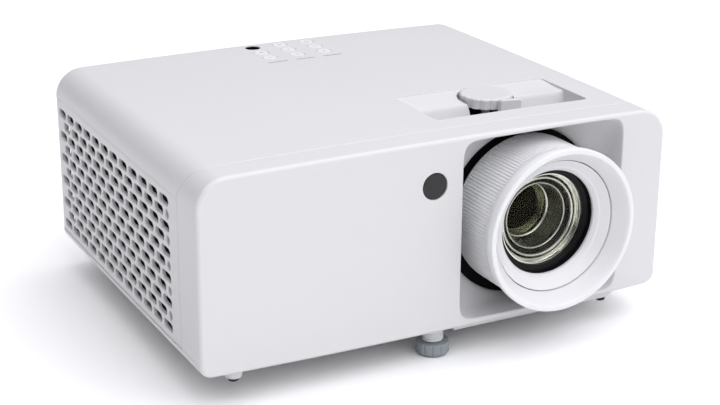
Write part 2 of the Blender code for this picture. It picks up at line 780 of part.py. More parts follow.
def make_lens():
    half_x, low_z, high_z = carriage_half_width, -carriage_half_height, carriage_top()
    plate_front, plate_rear = dial_depth - carriage_thickness / 2, dial_depth + carriage_thickness / 2
    corner = 6 * mm
    outline = [(-half_x, low_z), (half_x, low_z), (half_x, high_z - corner)]
    outline += [(half_x - corner, high_z), (-half_x, high_z)]
    plate = prism(outline, plate_front, plate_rear, "Y")
    carriage = add_object("lens_carriage", plate, cast, lens_place())
    bore = prism(circle(barrel_radius - 1 * mm + clearance, 40), plate_front - mm, plate_rear + mm, "Y")
    cut(carriage, "barrel bore", bore, lens_place())
    for side in (-1, 1):
        rod = circle(rod_radius + clearance, 14, (side * rod_reach, dial_depth))
        cut(carriage, f"rod bore {side}", prism(rod, low_z - mm, high_z + mm), lens_place())
    nut = circle(dial_shaft_radius + clearance, 14, (-gear_distance, dial_depth))
    cut(carriage, "screw bore", prism(nut, high_z - 11 * mm, high_z + mm), lens_place())

    lip, grip, bore_r = lip_radius / mm, focus_radius / mm, focus_bore / mm
    reach, rear = lens_reach / mm, focus_rear / mm
    trim, mouth = trim_radius / mm, mouth_radius / mm
    barrel, barrel_end = barrel_radius / mm, barrel_rear / mm
    front_r, middle_r, rear_bore = (r / mm for r in (front_lens_radius, middle_lens_radius, barrel_bore))
    fit = clearance / mm
    seat = bore_r - 0.5
    profile = [(lip - 4, -reach), (lip - 1.2, -reach), (lip, 1.2 - reach), (lip - 0.1, 5.5 - reach)]
    profile += [(grip + 0.9, 12 - reach), (grip, 13.5 - reach), (grip, rear), (bore_r, rear)]
    profile += [(bore_r, 19 - reach), (trim + fit + 0.2, 13 - reach), (trim + fit + 0.2, 10 - reach)]
    profile += [(trim + 2, 8 - reach), (lip - 5.4, 4 - reach)]
    ring_of("focus_ring", profile, pale, carriage)
    profile = [(trim, 10.6 - reach), (trim - 5.2, 15.4 - reach), (trim - 6.2, 15.8 - reach)]
    profile += [(mouth, 18.4 - reach), (mouth, 20.6 - reach), (trim, 20.6 - reach)]
    ring_of("lens_trim_ring", profile, pale, carriage)
    profile = [(mouth + 0.9, 21.3 - reach), (mouth + 0.9, 25.9 - reach), (front_r + 1.4, 25.9 - reach)]
    profile += [(front_r + 1.4, 24.7 - reach), (mouth - 0.4, 24 - reach), (mouth - 0.1, 21.3 - reach)]
    ring_of("lens_baffle", profile, black, carriage)
    # outside from the front to the rear, then the stepped inside back to the front
    profile = [(seat, 21 - reach), (seat, 28), (barrel, 31), (barrel, 60), (barrel - 1, 60)]
    profile += [(barrel - 1, barrel_end), (rear_bore, barrel_end), (rear_bore, 89)]
    profile += [(rear_bore - 1.5, 89), (rear_bore - 1.5, 31), (middle_r + fit, 31), (middle_r + fit, 23)]
    # the cone in front of the middle lens, then two steps up to the front lens
    profile += [(22, 11), (22, 8), (26, 8), (26, 5.2), (front_r + fit, 5.2), (front_r + fit, 1.2)]
    profile += [(mouth + 1.2, 1.2)]
    profile += [(mouth + 1.2, 21 - reach)]
    ring_of("lens_barrel", profile, silver, carriage)
    ring_of("front_lens", lens_profile(front_r, 1.4, 4.8, 3.0, -2.2), coated_glass, carriage, 28)
    ring_of("middle_lens", lens_profile(middle_r, 24, 30, 3.5, -1.5), dark_glass, carriage, 24)
    make_zoom_ring(carriage)


def lens_profile(radius, front, rear, front_bulge, rear_bulge):
    """Half a lens: both faces are arcs that end at its rim."""
    steps = 3
    profile = []
    for face, bulge in ((front, -front_bulge), (rear, rear_bulge)):
        sphere = (radius**2 + bulge**2) / (2 * bulge)
        points = []
        for i in range(steps + 1):
            r = radius * i / steps
            sag = sphere - (sqrt(sphere**2 - r**2) if sphere > 0 else -sqrt(sphere**2 - r**2))
            points.append((r, face + bulge - sag))
        profile += points if not profile else points[::-1]
    return profile


def make_zoom_ring(carriage):
    inner, outer = barrel_radius + clearance, zoom_radius
    profile = [(inner, zoom_front), (outer, zoom_front)]
    profile += [(outer, zoom_front + zoom_width), (inner, zoom_front + zoom_width)]
    ring = add_object("zoom_ring", revolve(profile, "Y", 36), white, lens_place(), carriage)
    ring.rotation_euler = (0, lever_rest, 0)
    tab_high = top_z - lens_z + 3 * mm
    half, half_tab, tab_low = lever_width / 2, tab_half, tab_radius
    corner = 2 * mm
    outline = [(-half, outer - 1.5 * mm), (half, outer - 1.5 * mm), (half, tab_low), (half_tab, tab_low)]
    outline += [(half_tab, tab_high - corner), (half_tab - corner * 0.3, tab_high - corner * 0.3)]
    outline += [(half_tab - corner, tab_high), (corner - half_tab, tab_high)]
    outline += [(corner * 0.3 - half_tab, tab_high - corner * 0.3), (-half_tab, tab_high - corner)]
    outline += [(-half_tab, tab_low), (-half, tab_low)]
    lever = prism(outline, lever_depth - lever_thickness / 2, lever_depth + lever_thickness / 2, "Y")
    tool = add_object("add zoom lever", lever, location=lens_place())
    tool.rotation_euler = (0, lever_rest, 0)
    boolean(ring, tool, "UNION")


def gear_outline(teeth, module, phase):
    """Straight-sided teeth, a little narrower than their gaps."""
    root, tip = teeth * module / 2 - 1.1 * module, teeth * module / 2 + 0.8 * module
    points = []
    for i in range(teeth):
        for offset, radius in ((-0.27, root), (-0.12, tip), (0.12, tip), (0.27, root)):
            angle = 2 * pi * (i + offset + phase) / teeth
            points.append((radius * cos(angle), radius * sin(angle)))
    return points


def make_shift_drive():
    """The dial on top turns a screw beside it, which lifts the lens carriage."""
    base = cover_height(lens_x, dial_depth)
    place = (lens_x, face_y + dial_depth, base)
    outline = []
    for i in range(dial_lobes * 2):
        radius = dial_radius - (0.9 * mm if i % 2 else 0)
        angle = pi * i / dial_lobes
        outline.append((radius * cos(angle), radius * sin(angle)))
    low, high = dial_top - dial_thickness, dial_top
    rings = [[(a, b, low) for a, b in outline], [(a, b, high - 1 * mm) for a, b in outline]]
    rings.append([(a * 0.94, b * 0.94, high) for a, b in outline])
    dial = add_object("lens_shift_dial", loft(rings), white, place)
    gear_low = gear_floor() - base
    gear_top = gear_low + gear_thickness
    shaft = prism(circle(dial_shaft_radius, 12), gear_low + 1 * mm, low + 1 * mm)
    join(dial, "dial shaft", shaft, place)
    join(dial, "dial gear", prism(gear_outline(gear_teeth, gear_module, 0), gear_low, gear_top), place)
    place = (lens_x - gear_distance, face_y + dial_depth, base)
    # an even gear has a tooth on both sides, so its mate starts with a gap
    gear = gear_outline(gear_teeth, gear_module, (1 - gear_teeth % 2) / 2)
    screw = add_object("shift_screw", prism(gear, gear_low, gear_top), steel, place)
    rod_low = lens_z + carriage_top() - 7 * mm - base
    rod = prism(circle(dial_shaft_radius, 12), rod_low, gear_low + 1 * mm)
    join(screw, "screw rod", rod, place)
    for name, side in (("left_guide_rod", -1), ("right_guide_rod", 1)):
        rod_top = lens_z + carriage_top() + shift_travel
        rod = disc(rod_radius, chassis_top + clearance, rod_top, "Z", 12)
        add_object(name, rod, steel, (lens_x + side * rod_reach, face_y + dial_depth, 0))


# what the case holds
def slab(name, low, high, look):
    """A box given by x, depth and height, with its edges eased."""
    bm = box(*((x * mm, face_y + depth * mm, z * mm) for x, depth, z in (low, high)))
    bmesh.ops.bevel(bm, geom=bm.edges[:], offset=min(1.5 * mm, 0.2 * (high[2] - low[2]) * mm),
                    segments=1, affect="EDGES")
    return add_object(name, bm, look)


def make_chassis():
    plate = box((-150 * mm, face_y + 48 * mm, chassis_top - chassis_thickness),
                (158 * mm, face_y + 225 * mm, chassis_top))
    chassis = add_object("chassis_plate", plate, cast)
    bosses, bores = bmesh.new(), bmesh.new()
    for x, depth in screws.values():
        centre = (x, face_y + depth)
        low = belly_height(x) + wall + clearance + 0.2 * mm
        prism(circle(boss_radius, 14, centre), low, chassis_top - chassis_thickness / 2, "Z", bosses)
        prism(circle(screw_radius + clearance, 10, centre), low - mm, chassis_top - 3 * mm, "Z", bores)
    join(chassis, "chassis bosses", bosses)
    cut(chassis, "chassis bores", bores)


def make_fans():
    size, thickness, hub = fan_size, fan_thickness, fan_hub
    for name, (x, depth) in fans.items():
        place = (x, face_y + depth, chassis_top + size / 2 + 1 * mm)
        half = size / 2
        frame = box((-thickness / 2, -half, -half), (thickness / 2, half, half))
        frame = add_object(f"{name}_frame", frame, dark, place)
        bore, floor = half - 3 * mm, thickness / 2 - 2 * mm
        duct = revolve([(0, -thickness), (bore, -thickness), (bore, floor), (0, floor)], "X", 24)
        cut(frame, f"{name} duct", duct, place)
        window = bmesh.new()
        for quarter in range(4):
            turn = quarter * pi / 2
            inner = arc((0, 0), hub + 3 * mm, turn + 0.12, turn + pi / 2 - 0.12, 3)
            outer = arc((0, 0), half - 5 * mm, turn + pi / 2 - 0.06, turn + 0.06, 5)
            prism(inner + outer, 0, thickness, "X", window)
        cut(frame, f"{name} openings", window, place)
        blades = 7
        outline = []
        for i in range(blades):
            start = 2 * pi * i / blades
            for turn, radius in ((0, hub), (0.12, half - 5 * mm), (0.34, half - 5 * mm), (0.36, hub)):
                outline.append((radius * cos(start + turn), radius * sin(start + turn)))
        rotor = prism(outline, -thickness / 2 + 2 * mm, thickness / 2 - 5 * mm, "X")
        add_object(f"{name}_rotor", rotor, black, place)


def make_heat_sink():
    fins, pitch, thin, foot = 14, 5 * mm, 1.6 * mm, 5 * mm
    low, high = chassis_top + clearance, chassis_top + 62 * mm
    start = face_y + 61 * mm
    outline = [(start, low)]
    for i in range(fins):
        y = start + i * pitch
        outline += [(y, high), (y + thin, high)]
        if i < fins - 1:
            outline += [(y + thin, low + foot), (y + pitch, low + foot)]
    outline.append((start + (fins - 1) * pitch + thin, low))
    add_object("heat_sink", prism(outline, -130 * mm, -78 * mm, "X"), cast)


def make_inside():
    deck = (chassis_top + clearance) / mm
    slab("laser_module", (-72, 62, deck), (-14, 128, deck + 52), cast)
    engine_mouth = barrel_bore + 3.7 * mm
    engine_top = (lens_z + engine_mouth) / mm + 5
    engine = slab("optical_engine", (-8, 108, deck), (118, 190, engine_top), dark)
    mouth = prism(circle(engine_mouth, 32), barrel_rear, barrel_rear + 22 * mm, "Y")
    cut(engine, "engine mouth", mouth, lens_place())
    slab("power_supply", (-146, 138, deck), (-66, 222, deck + 36), dark)
    low = (-30 * mm, face_y + 196 * mm, board_top - 2.3 * mm)
    high = (118 * mm, face_y + body_depth - 14 * mm, board_top - 0.7 * mm)
    add_object("main_board", box(low, high), board)


bezel = make_bezel()
make_front_foot_seat(bezel)
window = disc(window_radius, 0.3 * mm, wall - 0.2 * mm, "Y")
add_object("front_ir_window", window, gloss_black, window_place)
make_top_cover()
make_keypad()
make_side_panels()
make_rear_panel()
make_sockets()
make_bottom_case()
make_case_screws()
make_feet()
make_lens()
make_shift_drive()
make_chassis()
make_fans()
make_heat_sink()
make_inside()
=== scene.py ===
import bpy
import bmesh
import json
from math import cos, hypot, pi, radians, sin, sqrt
from mathutils import Matrix, Vector
from mathutils.geometry import delaunay_2d_cdt


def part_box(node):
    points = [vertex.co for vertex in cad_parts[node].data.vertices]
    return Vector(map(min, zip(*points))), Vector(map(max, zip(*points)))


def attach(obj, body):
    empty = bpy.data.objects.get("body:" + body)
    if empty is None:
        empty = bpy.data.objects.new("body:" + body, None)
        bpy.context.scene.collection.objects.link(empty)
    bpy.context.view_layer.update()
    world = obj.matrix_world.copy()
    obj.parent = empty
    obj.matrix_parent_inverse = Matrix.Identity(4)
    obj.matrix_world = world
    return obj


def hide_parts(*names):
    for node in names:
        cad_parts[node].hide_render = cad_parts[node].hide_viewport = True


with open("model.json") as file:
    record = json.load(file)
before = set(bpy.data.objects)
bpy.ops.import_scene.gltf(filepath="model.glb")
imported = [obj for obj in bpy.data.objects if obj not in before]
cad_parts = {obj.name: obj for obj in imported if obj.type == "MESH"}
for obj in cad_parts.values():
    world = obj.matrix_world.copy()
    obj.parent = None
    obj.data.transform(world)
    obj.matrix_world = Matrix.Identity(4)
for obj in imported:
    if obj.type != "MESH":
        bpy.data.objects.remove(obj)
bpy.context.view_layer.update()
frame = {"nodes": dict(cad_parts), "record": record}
mm = 0.001

# everything below is in millimetres; depth is counted from the face towards the rear
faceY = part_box("front_bezel")[0].y / mm
lensLow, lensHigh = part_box("focus_ring")
lensX = (lensLow.x + lensHigh.x) / 2 / mm
lensZ = (lensLow.z + lensHigh.z) / 2 / mm
standZ = 20.0


# meshes
def newPiece(name, verts, faces, material, body, stands=(), slot="white_case", sharp=32):
    mesh = bpy.data.meshes.new(name)
    mesh.from_pydata([Vector(v) * mm for v in verts], [], faces)
    work = bmesh.new()
    work.from_mesh(mesh)
    bmesh.ops.remove_doubles(work, verts=work.verts, dist=0.004 * mm)
    bmesh.ops.dissolve_degenerate(work, edges=work.edges, dist=0.002 * mm)
    bmesh.ops.recalc_face_normals(work, faces=work.faces)
    work.to_mesh(mesh)
    work.free()
    mesh.shade_smooth()
    mesh.set_sharp_from_angle(angle=radians(sharp))
    mesh.materials.append(material)
    piece = bpy.data.objects.new(name, mesh)
    bpy.context.scene.collection.objects.link(piece)
    even = piece.modifiers.new("even shading", "WEIGHTED_NORMAL")
    even.keep_sharp = True
    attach(piece, body)
    if stands:
        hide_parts(*stands)
    return piece


class Maker:
    # gathers the points and faces of one piece
    def __init__(self):
        self.verts, self.faces = [], []

    def rows(self, rings, closed=True, capStart=False, capEnd=False):
        base, count = len(self.verts), len(rings[0])
        for ring in rings:
            self.verts += ring
        for i in range(len(rings) - 1):
            for j in range(count if closed else count - 1):
                a, b = base + i * count, base + (i + 1) * count
                k = (j + 1) % count
                self.faces.append((a + j, a + k, b + k, b + j))
        if capStart:
            self.faces.append(tuple(range(base, base + count)))
        if capEnd:
            last = base + (len(rings) - 1) * count
            self.faces.append(tuple(reversed(range(last, last + count))))

    def sheet(self, outline, holes, place, extra=()):
        # fills an outline with holes; place turns its two coordinates into a point
        points = [Vector(p) for p in outline]
        edges = [(i, (i + 1) % len(outline)) for i in range(len(outline))]
        for hole in holes:
            base = len(points)
            points += [Vector(p) for p in hole]
            edges += [(base + i, base + (i + 1) % len(hole)) for i in range(len(hole))]
        boxes = [outlineBox(hole) for hole in holes]
        points += [Vector(p) for p in extra]
        spots, _, triangles, *_ = delaunay_2d_cdt(points, edges, [], 0, 1e-4)
        base = len(self.verts)
        self.verts += [place(p.x, p.y) for p in spots]
        for face in triangles:
            mid = sum((spots[i] for i in face), Vector((0, 0))) / len(face)
            inHole = any(inBox(mid, box) and insideOf(mid, hole) for box, hole in zip(boxes, holes))
            if insideOf(mid, outline) and not inHole:
                self.faces.append(tuple(base + i for i in face))

    def solid(self, profile, axis, centre, steps=96, ripple=None):
        # turned, and closed at both ends
        self.rows(turned(profile, axis, centre, steps, ripple), capStart=True, capEnd=True)
        return self

    def hoop(self, profile, axis, centre, steps=96, ripple=None):
        # turned, with a hole through it
        self.rows(turned(profile + profile[:1], axis, centre, steps, ripple))
        return self

    def piece(self, name, material, body, **more):
        return newPiece(name, self.verts, self.faces, material, body, **more)


def insideOf(p, outline):
    inside = False
    for (x0, y0), (x1, y1) in zip(outline, outline[1:] + outline[:1]):
        if (y0 > p[1]) != (y1 > p[1]) and p[0] < (x1 - x0) * (p[1] - y0) / (y1 - y0) + x0:
            inside = not inside
    return inside


def outlineBox(outline):
    return (min(p[0] for p in outline), min(p[1] for p in outline),
            max(p[0] for p in outline), max(p[1] for p in outline))


def inBox(p, box):
    return box[0] < p[0] < box[2] and box[1] < p[1] < box[3]


def gridPoints(outline, holes, step):
    # a loose grid that keeps clear of every edge, so that a filled sheet can curve
    low, high = outlineBox(outline)[:2], outlineBox(outline)[2:]
    rims = [p for ring in (outline, *holes) for p in ring]
    found = []
    for i in range(1, int((high[0] - low[0]) / step) + 1):
        for j in range(1, int((high[1] - low[1]) / step) + 1):
            p = (low[0] + i * step, low[1] + j * step)
            if insideOf(p, outline) and not any(insideOf(p, hole) for hole in holes):
                if min(hypot(p[0] - q[0], p[1] - q[1]) for q in rims) > step * 0.4:
                    found.append(p)
    return found


def arcPoints(centre, radius, start, end, steps):
    return [(centre[0] + radius * cos(start + (end - start) * i / steps),
             centre[1] + radius * sin(start + (end - start) * i / steps)) for i in range(steps + 1)]


def circlePoints(radius, steps, centre=(0, 0)):
    return arcPoints(centre, radius, 0, 2 * pi, steps)[:-1]


def roundedBox(halfX, halfY, radius, centre=(0, 0), steps=5):
    points = []
    for sideX, sideY, start in ((1, 1, 0), (-1, 1, pi / 2), (-1, -1, pi), (1, -1, 1.5 * pi)):
        corner = (centre[0] + sideX * (halfX - radius), centre[1] + sideY * (halfY - radius))
        points += arcPoints(corner, radius, start, start + pi / 2, steps)
    return points


def quarter(edge, steps=3):
    # a rounded edge: how far in it is, and how far back
    turns = [pi / 2 * i / steps for i in range(steps + 1)]
    return [(edge * (1 - cos(turn)), edge * (1 - sin(turn))) for turn in turns]


def eased(profile, radius=0.35, steps=3, closed=True):
    # rounds the corners of a profile
    out, count = [], len(profile)
    for i, point in enumerate(profile):
        if not closed and i in (0, count - 1):
            out.append(point)
            continue
        before, p, after = Vector(profile[i - 1]), Vector(point), Vector(profile[(i + 1) % count])
        r = min(radius, (before - p).length * 0.45, (after - p).length * 0.45)
        start, end = p + (before - p).normalized() * r, p + (after - p).normalized() * r
        for k in range(steps + 1):
            t = k / steps
            out.append(tuple(start * (1 - t) ** 2 + p * 2 * t * (1 - t) + end * t * t))
    return out


def shrunk(outline, inset):
    # moves an outline inwards along its corners' middle lines (it runs anticlockwise)
    out, count = [], len(outline)
    for i, p in enumerate(outline):
        a = Vector(p) - Vector(outline[i - 1])
        b = Vector(outline[(i + 1) % count]) - Vector(p)
        if a.length < 1e-6 or b.length < 1e-6:
            out.append(p)
            continue
        a, b = a.normalized(), b.normalized()
        normal = Vector((-a.y - b.y, a.x + b.x))
        normal = normal.normalized() / max(sqrt((1 + a.dot(b)) / 2), 0.35)
        out.append((p[0] + normal.x * inset, p[1] + normal.y * inset))
    return out


def turned(profile, axis, centre, steps=96, ripple=None):
    # rings of a turned piece from a profile of (radius, place along the axis)
    rings = []
    for radius, along in profile:
        ring = []
        for i in range(steps):
            turn = 2 * pi * i / steps
            r = radius + (ripple(turn, radius, along) if ripple else 0)
            a, b = r * cos(turn), r * sin(turn)
            p = {"X": (along, a, b), "Y": (a, along, b), "Z": (a, b, along)}[axis]
            ring.append(tuple(u + v for u, v in zip(p, centre)))
        rings.append(ring)
    return rings


def block(maker, outline, low, high, edge, place, steps=3):
    # a straight block from an outline, with both of its rims eased
    edges = quarter(edge, steps)
    rings = [[place(*p, low + inset) for p in shrunk(outline, back)] for inset, back in edges]
    rings += [[place(*p, high - inset) for p in shrunk(outline, back)] for inset, back in edges[::-1]]
    maker.rows(rings, capStart=True, capEnd=True)


def alongX(y, z, x):
    return (x, y, z)


def alongZ(x, y, z):
    return (x, y, z)


# materials: one function adds a node with its settings and links
def addNode(tree, kind, inputs=(), **settings):
    node = tree.nodes.new(kind)
    for key, value in settings.items():
        setattr(node, key, value)
    for key, value in dict(inputs).items():
        if isinstance(value, bpy.types.NodeSocket):
            tree.links.new(value, node.inputs[key])
        else:
            node.inputs[key].default_value = value
    return node


def toLinear(code, share=1.0):
    parts = [int(code[i:i + 2], 16) / 255 for i in (1, 3, 5)]
    linear = [c / 12.92 if c <= 0.04045 else ((c + 0.055) / 1.055) ** 2.4 for c in parts]
    return (*(share * c for c in linear), 1)


def newSurface(name, **values):
    # a Principled surface, and the place on the object that its textures are laid by
    material = bpy.data.materials.new(name)
    material.use_nodes = True
    tree = material.node_tree
    shader = tree.nodes["Principled BSDF"]
    for key, value in values.items():
        shader.inputs[key.replace("_", " ")].default_value = value
    return material, tree, shader, addNode(tree, "ShaderNodeTexCoord").outputs["Object"]


def mixTwo(tree, shader, mask, first, second):
    mix = addNode(tree, "ShaderNodeMix", data_type="RGBA")
    tree.links.new(mask, mix.inputs[0])
    mix.inputs[6].default_value, mix.inputs[7].default_value = first, second
    tree.links.new(mix.outputs[2], shader.inputs["Base Color"])


def varyGloss(tree, shader, mask, low, high):
    gloss = addNode(tree, "ShaderNodeMapRange", {"Value": mask, "To Min": low, "To Max": high})
    tree.links.new(gloss.outputs["Result"], shader.inputs["Roughness"])


def addBump(tree, shader, mask, strength, height):
    bump = addNode(tree, "ShaderNodeBump", {"Height": mask, "Strength": strength, "Distance": height * mm})
    tree.links.new(bump.outputs["Normal"], shader.inputs["Normal"])


def mouldedAbs(name, tint, roughness, grain, shadeDrop=0.03):
    # ABS from a spark-eroded mould: its grain of about 0.15 mm is drawn near 0.5 mm so that it shows,
    # which spreads the highlights softly, and a slow drift in tone keeps wide faces from looking painted
    material, tree, shader, place = newSurface(name, IOR=1.53)
    drift = addNode(tree, "ShaderNodeTexNoise", {"Vector": place, "Scale": 12.0, "Detail": 3.0})
    fine = addNode(tree, "ShaderNodeTexNoise", {"Vector": place, "Scale": 1000 / 0.5, "Detail": 2.0})
    mixTwo(tree, shader, drift.outputs["Fac"], toLinear(tint, 1 - shadeDrop), toLinear(tint))
    varyGloss(tree, shader, fine.outputs["Fac"], roughness - 0.06, roughness + 0.06)
    addBump(tree, shader, fine.outputs["Fac"], 0.2, grain)
    return material


def mouldedDark(name, tint, roughness, dustShare=1.8, specular=0.5):
    # dark moulded plastic or rubber: fine dust and rubbed spots break up its gloss
    material, tree, shader, place = newSurface(name, IOR=1.5, Specular_IOR_Level=specular)
    dust = addNode(tree, "ShaderNodeTexNoise", {"Vector": place, "Scale": 400.0, "Detail": 3.0})
    mixTwo(tree, shader, dust.outputs["Fac"], toLinear(tint), toLinear(tint, dustShare))
    varyGloss(tree, shader, dust.outputs["Fac"], max(roughness - 0.05, 0.02), roughness + 0.08)
    addBump(tree, shader, dust.outputs["Fac"], 0.08, 0.03)
    return material


def turnedMetal(name, tint, roughness, spacing, metallic=1.0):
    # metal turned on a lathe: fine rings stretch each highlight across them, and handling
    # dulls it in patches
    material, tree, shader, place = newSurface(name, Metallic=metallic)
    rings = addNode(tree, "ShaderNodeTexWave", bands_direction="Y", inputs={
        "Vector": place, "Scale": 1000 / spacing / 20, "Distortion": 0.6, "Detail": 2.0})
    wear = addNode(tree, "ShaderNodeTexNoise", {"Vector": place, "Scale": 70.0, "Detail": 3.0})
    mixTwo(tree, shader, wear.outputs["Fac"], toLinear(tint, 0.82), toLinear(tint))
    varyGloss(tree, shader, wear.outputs["Fac"], roughness - 0.06, roughness + 0.08)
    addBump(tree, shader, rings.outputs["Fac"], 0.12, 0.02)
    return material


def coatedGlass(name, tint, coat):
    # polished optical glass; a low IOR stands for its anti-reflection coating, which leaves
    # a faint tinted glint
    material, tree, shader, place = newSurface(name, Roughness=0.01, IOR=1.14, Transmission_Weight=1.0,
                                               Specular_Tint=toLinear(coat))
    haze = addNode(tree, "ShaderNodeTexNoise", {"Vector": place, "Scale": 25.0, "Detail": 2.0})
    mixTwo(tree, shader, haze.outputs["Fac"], toLinear(tint, 0.97), toLinear(tint))
    return material


def deepGlass(name):
    # the deep lens group: nearly black, with olive and brown glints of its coatings painted into its base
    # colour as painted reflections
    material, tree, shader, place = newSurface(name, Roughness=0.05, IOR=1.6)
    paintedGlint = addNode(tree, "ShaderNodeTexNoise", {"Vector": place, "Scale": 38.0, "Detail": 1.0,
                                                 "Distortion": 1.4})
    ramp = addNode(tree, "ShaderNodeValToRGB", {"Fac": paintedGlint.outputs["Fac"]})
    stops = ramp.color_ramp.elements
    stops[0].position, stops[0].color = 0.38, toLinear("#07080A")
    stops[1].position, stops[1].color = 0.68, toLinear("#3A2A1C")
    stops.new(0.53).color = toLinear("#1C211A")
    tree.links.new(ramp.outputs["Color"], shader.inputs["Base Color"])
    return material


def circuitBoard(name):
    # glass-fibre board under green solder mask: copper under it shows as paler bands about 1 mm wide
    material, tree, shader, place = newSurface(name, Roughness=0.35, IOR=1.5)
    copper = addNode(tree, "ShaderNodeTexBrick", {
        "Vector": place, "Scale": 110.0, "Mortar Size": 0.04, "Color1": toLinear("#14502E"),
        "Color2": toLinear("#1A5C36"), "Mortar": toLinear("#3E8258")})
    tree.links.new(copper.outputs["Color"], shader.inputs["Base Color"])
    addBump(tree, shader, copper.outputs["Fac"], 0.3, 0.05)
    return material


caseWhite = mouldedAbs("moulded white ABS", "#D3D3D4", 0.42, 0.04)
ringWhite = mouldedAbs("fine moulded white ABS", "#E2E2E4", 0.36, 0.02)
footGrey = mouldedAbs("moulded grey ABS", "#8C9498", 0.48, 0.03, 0.12)
blackAbs = mouldedDark("moulded black ABS", "#050506", 0.42, 1.8, 0.22)
matteBlack = mouldedDark("matte black fill", "#040405", 0.85, 1.8, 0.15)
filterAcrylic = mouldedDark("polished dark acrylic", "#030304", 0.05, 1.3)
padRubber = mouldedDark("moulded black rubber", "#1A1A1C", 0.75)
guideGrey = mouldedDark("smoky polycarbonate", "#A7A9AC", 0.25, 1.1)
inkGrey = mouldedDark("pad printed grey ink", "#A9ABAF", 0.5, 1.08)
darkPlastic = mouldedDark("moulded dark glass filled nylon", "#26272A", 0.5)
turnedAluminium = turnedMetal("turned and clear anodised aluminium", "#DADAD2", 0.24, 0.5, 1.0)
castAluminium = turnedMetal("die cast aluminium", "#A5A7AA", 0.5, 1.5)
platedSteel = turnedMetal("nickel plated steel", "#B2B4B7", 0.28, 0.8)
opticalGlass = coatedGlass("coated optical glass", "#FBFBF8", "#E6F0D8")
middleGlass = coatedGlass("copper coated optical glass", "#A2A591", "#E0A070")
deepCoated = deepGlass("coated deep lens")
boardGreen = circuitBoard("green solder mask")
bySlot = {
    "white_case": caseWhite, "white_lens_ring": ringWhite, "foot_grey": footGrey,
    "black_plastic": blackAbs, "ir_window": filterAcrylic, "indicator_guide": guideGrey,
    "pad_rubber": padRubber, "coated_glass": opticalGlass, "dark_glass": deepCoated,
    "silver_barrel": turnedAluminium, "steel": platedSteel, "cast_alloy": castAluminium,
    "circuit_board": boardGreen, "dark_plastic": darkPlastic,
}
# the CAD nodes that stay get their surfaces here
for row in frame["record"]["subparts"]:
    for place in frame["nodes"][row["node"]].material_slots:
        place.material = bySlot[row["material_slot"]]
print("materials are ready")


# the case's outer form: a ring of points at each depth
case = {
    "width": 336, "depth": 272, "faceHeight": 129, "shoulder": 20, "lower": 8.5, "faceEdge": 2.5,
    "rearSide": 9, "rearTop": 10, "crownAcross": 1.8, "crownBack": 2.5, "bellyAcross": 2.5, "taper": 2,
    "seamSide": 30, "seamTop": 20, "seamGap": 0.4, "wall": 2.5, "sideWall": 2.6, "edge": 0.6,
    "sideStep": 0.25,  # the side panels stand back this much under the top cover
    "sideSteps": 8, "shoulderSteps": 12, "topSteps": 24, "lowerSteps": 6, "bellySteps": 20,
}
topZ = standZ + case["faceHeight"]
flatEnd = case["depth"] - case["rearTop"]


def rounding(depth, radius):
    into = depth - (case["depth"] - radius)
    return radius - sqrt(max(radius**2 - into**2, 0)) if into > 0 else 0.0


def faceRounding(depth):
    edge = case["faceEdge"]
    return edge - sqrt(max(edge**2 - (edge - depth) ** 2, 0)) if depth < edge else 0.0


def coverHeight(x, depth):
    rise = case["crownBack"] * (1 - (1 - depth / case["depth"]) ** 2)
    return topZ + rise - case["crownAcross"] * (2 * x / case["width"]) ** 2


def bellyHeight(x):
    return standZ + case["bellyAcross"] * (2 * x / case["width"]) ** 2


def caseRing(depth, inset=0.0):
    front = faceRounding(depth)
    side, top = front + rounding(depth, case["rearSide"]), front + rounding(depth, case["rearTop"])
    half = case["width"] / 2 - case["taper"] * (depth / case["depth"]) ** 2 - side - inset
    shoulder, lower = case["shoulder"] - side - inset, max(case["lower"] - side - inset, 2)
    bendX, footX = half - shoulder, half - lower
    bendZ = coverHeight(bendX, depth) - top - inset - shoulder
    footZ = bellyHeight(footX) + side + inset + lower
    low, high = footZ + case["seamGap"], bendZ - case["seamGap"]
    sideZ = [low + (high - low) * i / case["sideSteps"] for i in range(case["sideSteps"] + 1)]
    panelX = half - case["sideStep"]
    ring = [(-panelX, z) for z in sideZ]
    ring += arcPoints((-bendX, bendZ), shoulder, pi, pi / 2, case["shoulderSteps"])
    ring += [(x, coverHeight(x, depth) - top - inset)
             for x in (bendX * (2 * i / case["topSteps"] - 1) for i in range(1, case["topSteps"]))]
    ring += arcPoints((bendX, bendZ), shoulder, pi / 2, 0, case["shoulderSteps"])
    ring += [(panelX, z) for z in reversed(sideZ)]
    ring += arcPoints((footX, footZ), lower, 0, -pi / 2, case["lowerSteps"])
    ring += [(x, bellyHeight(x) + side + inset)
             for x in (footX * (1 - 2 * i / case["bellySteps"]) for i in range(1, case["bellySteps"]))]
    ring += arcPoints((-footX, footZ), lower, -pi / 2, -pi, case["lowerSteps"])
    return ring


topStart = case["sideSteps"] + 1
topCount = 2 * case["shoulderSteps"] + case["topSteps"] + 1
rightStart = topStart + topCount
bellyStart = rightStart + case["sideSteps"] + 1
ringCount = bellyStart + 2 * case["lowerSteps"] + case["bellySteps"] + 1
leftShoulder = list(range(topStart, topStart + case["shoulderSteps"] + 1))
crown = list(range(leftShoulder[-1], leftShoulder[-1] + case["topSteps"] + 1))
rightShoulder = list(range(crown[-1], rightStart))


def seamDepth(k):
    into = min(k - topStart, topStart + topCount - 1 - k)
    share = min(max(into / case["shoulderSteps"], 0), 1)
    return case["seamSide"] + (case["seamTop"] - case["seamSide"]) * share**2 * (3 - 2 * share)


def skinRow(part, depthOf, inset=0.0):
    rings = {}
    row = []
    for k in part:
        depth = depthOf(k)
        if depth not in rings:
            rings[depth] = caseRing(depth, inset)
        x, z = rings[depth][k]
        row.append((x, faceY + depth, z))
    return row


def at(depth):
    return lambda k: depth


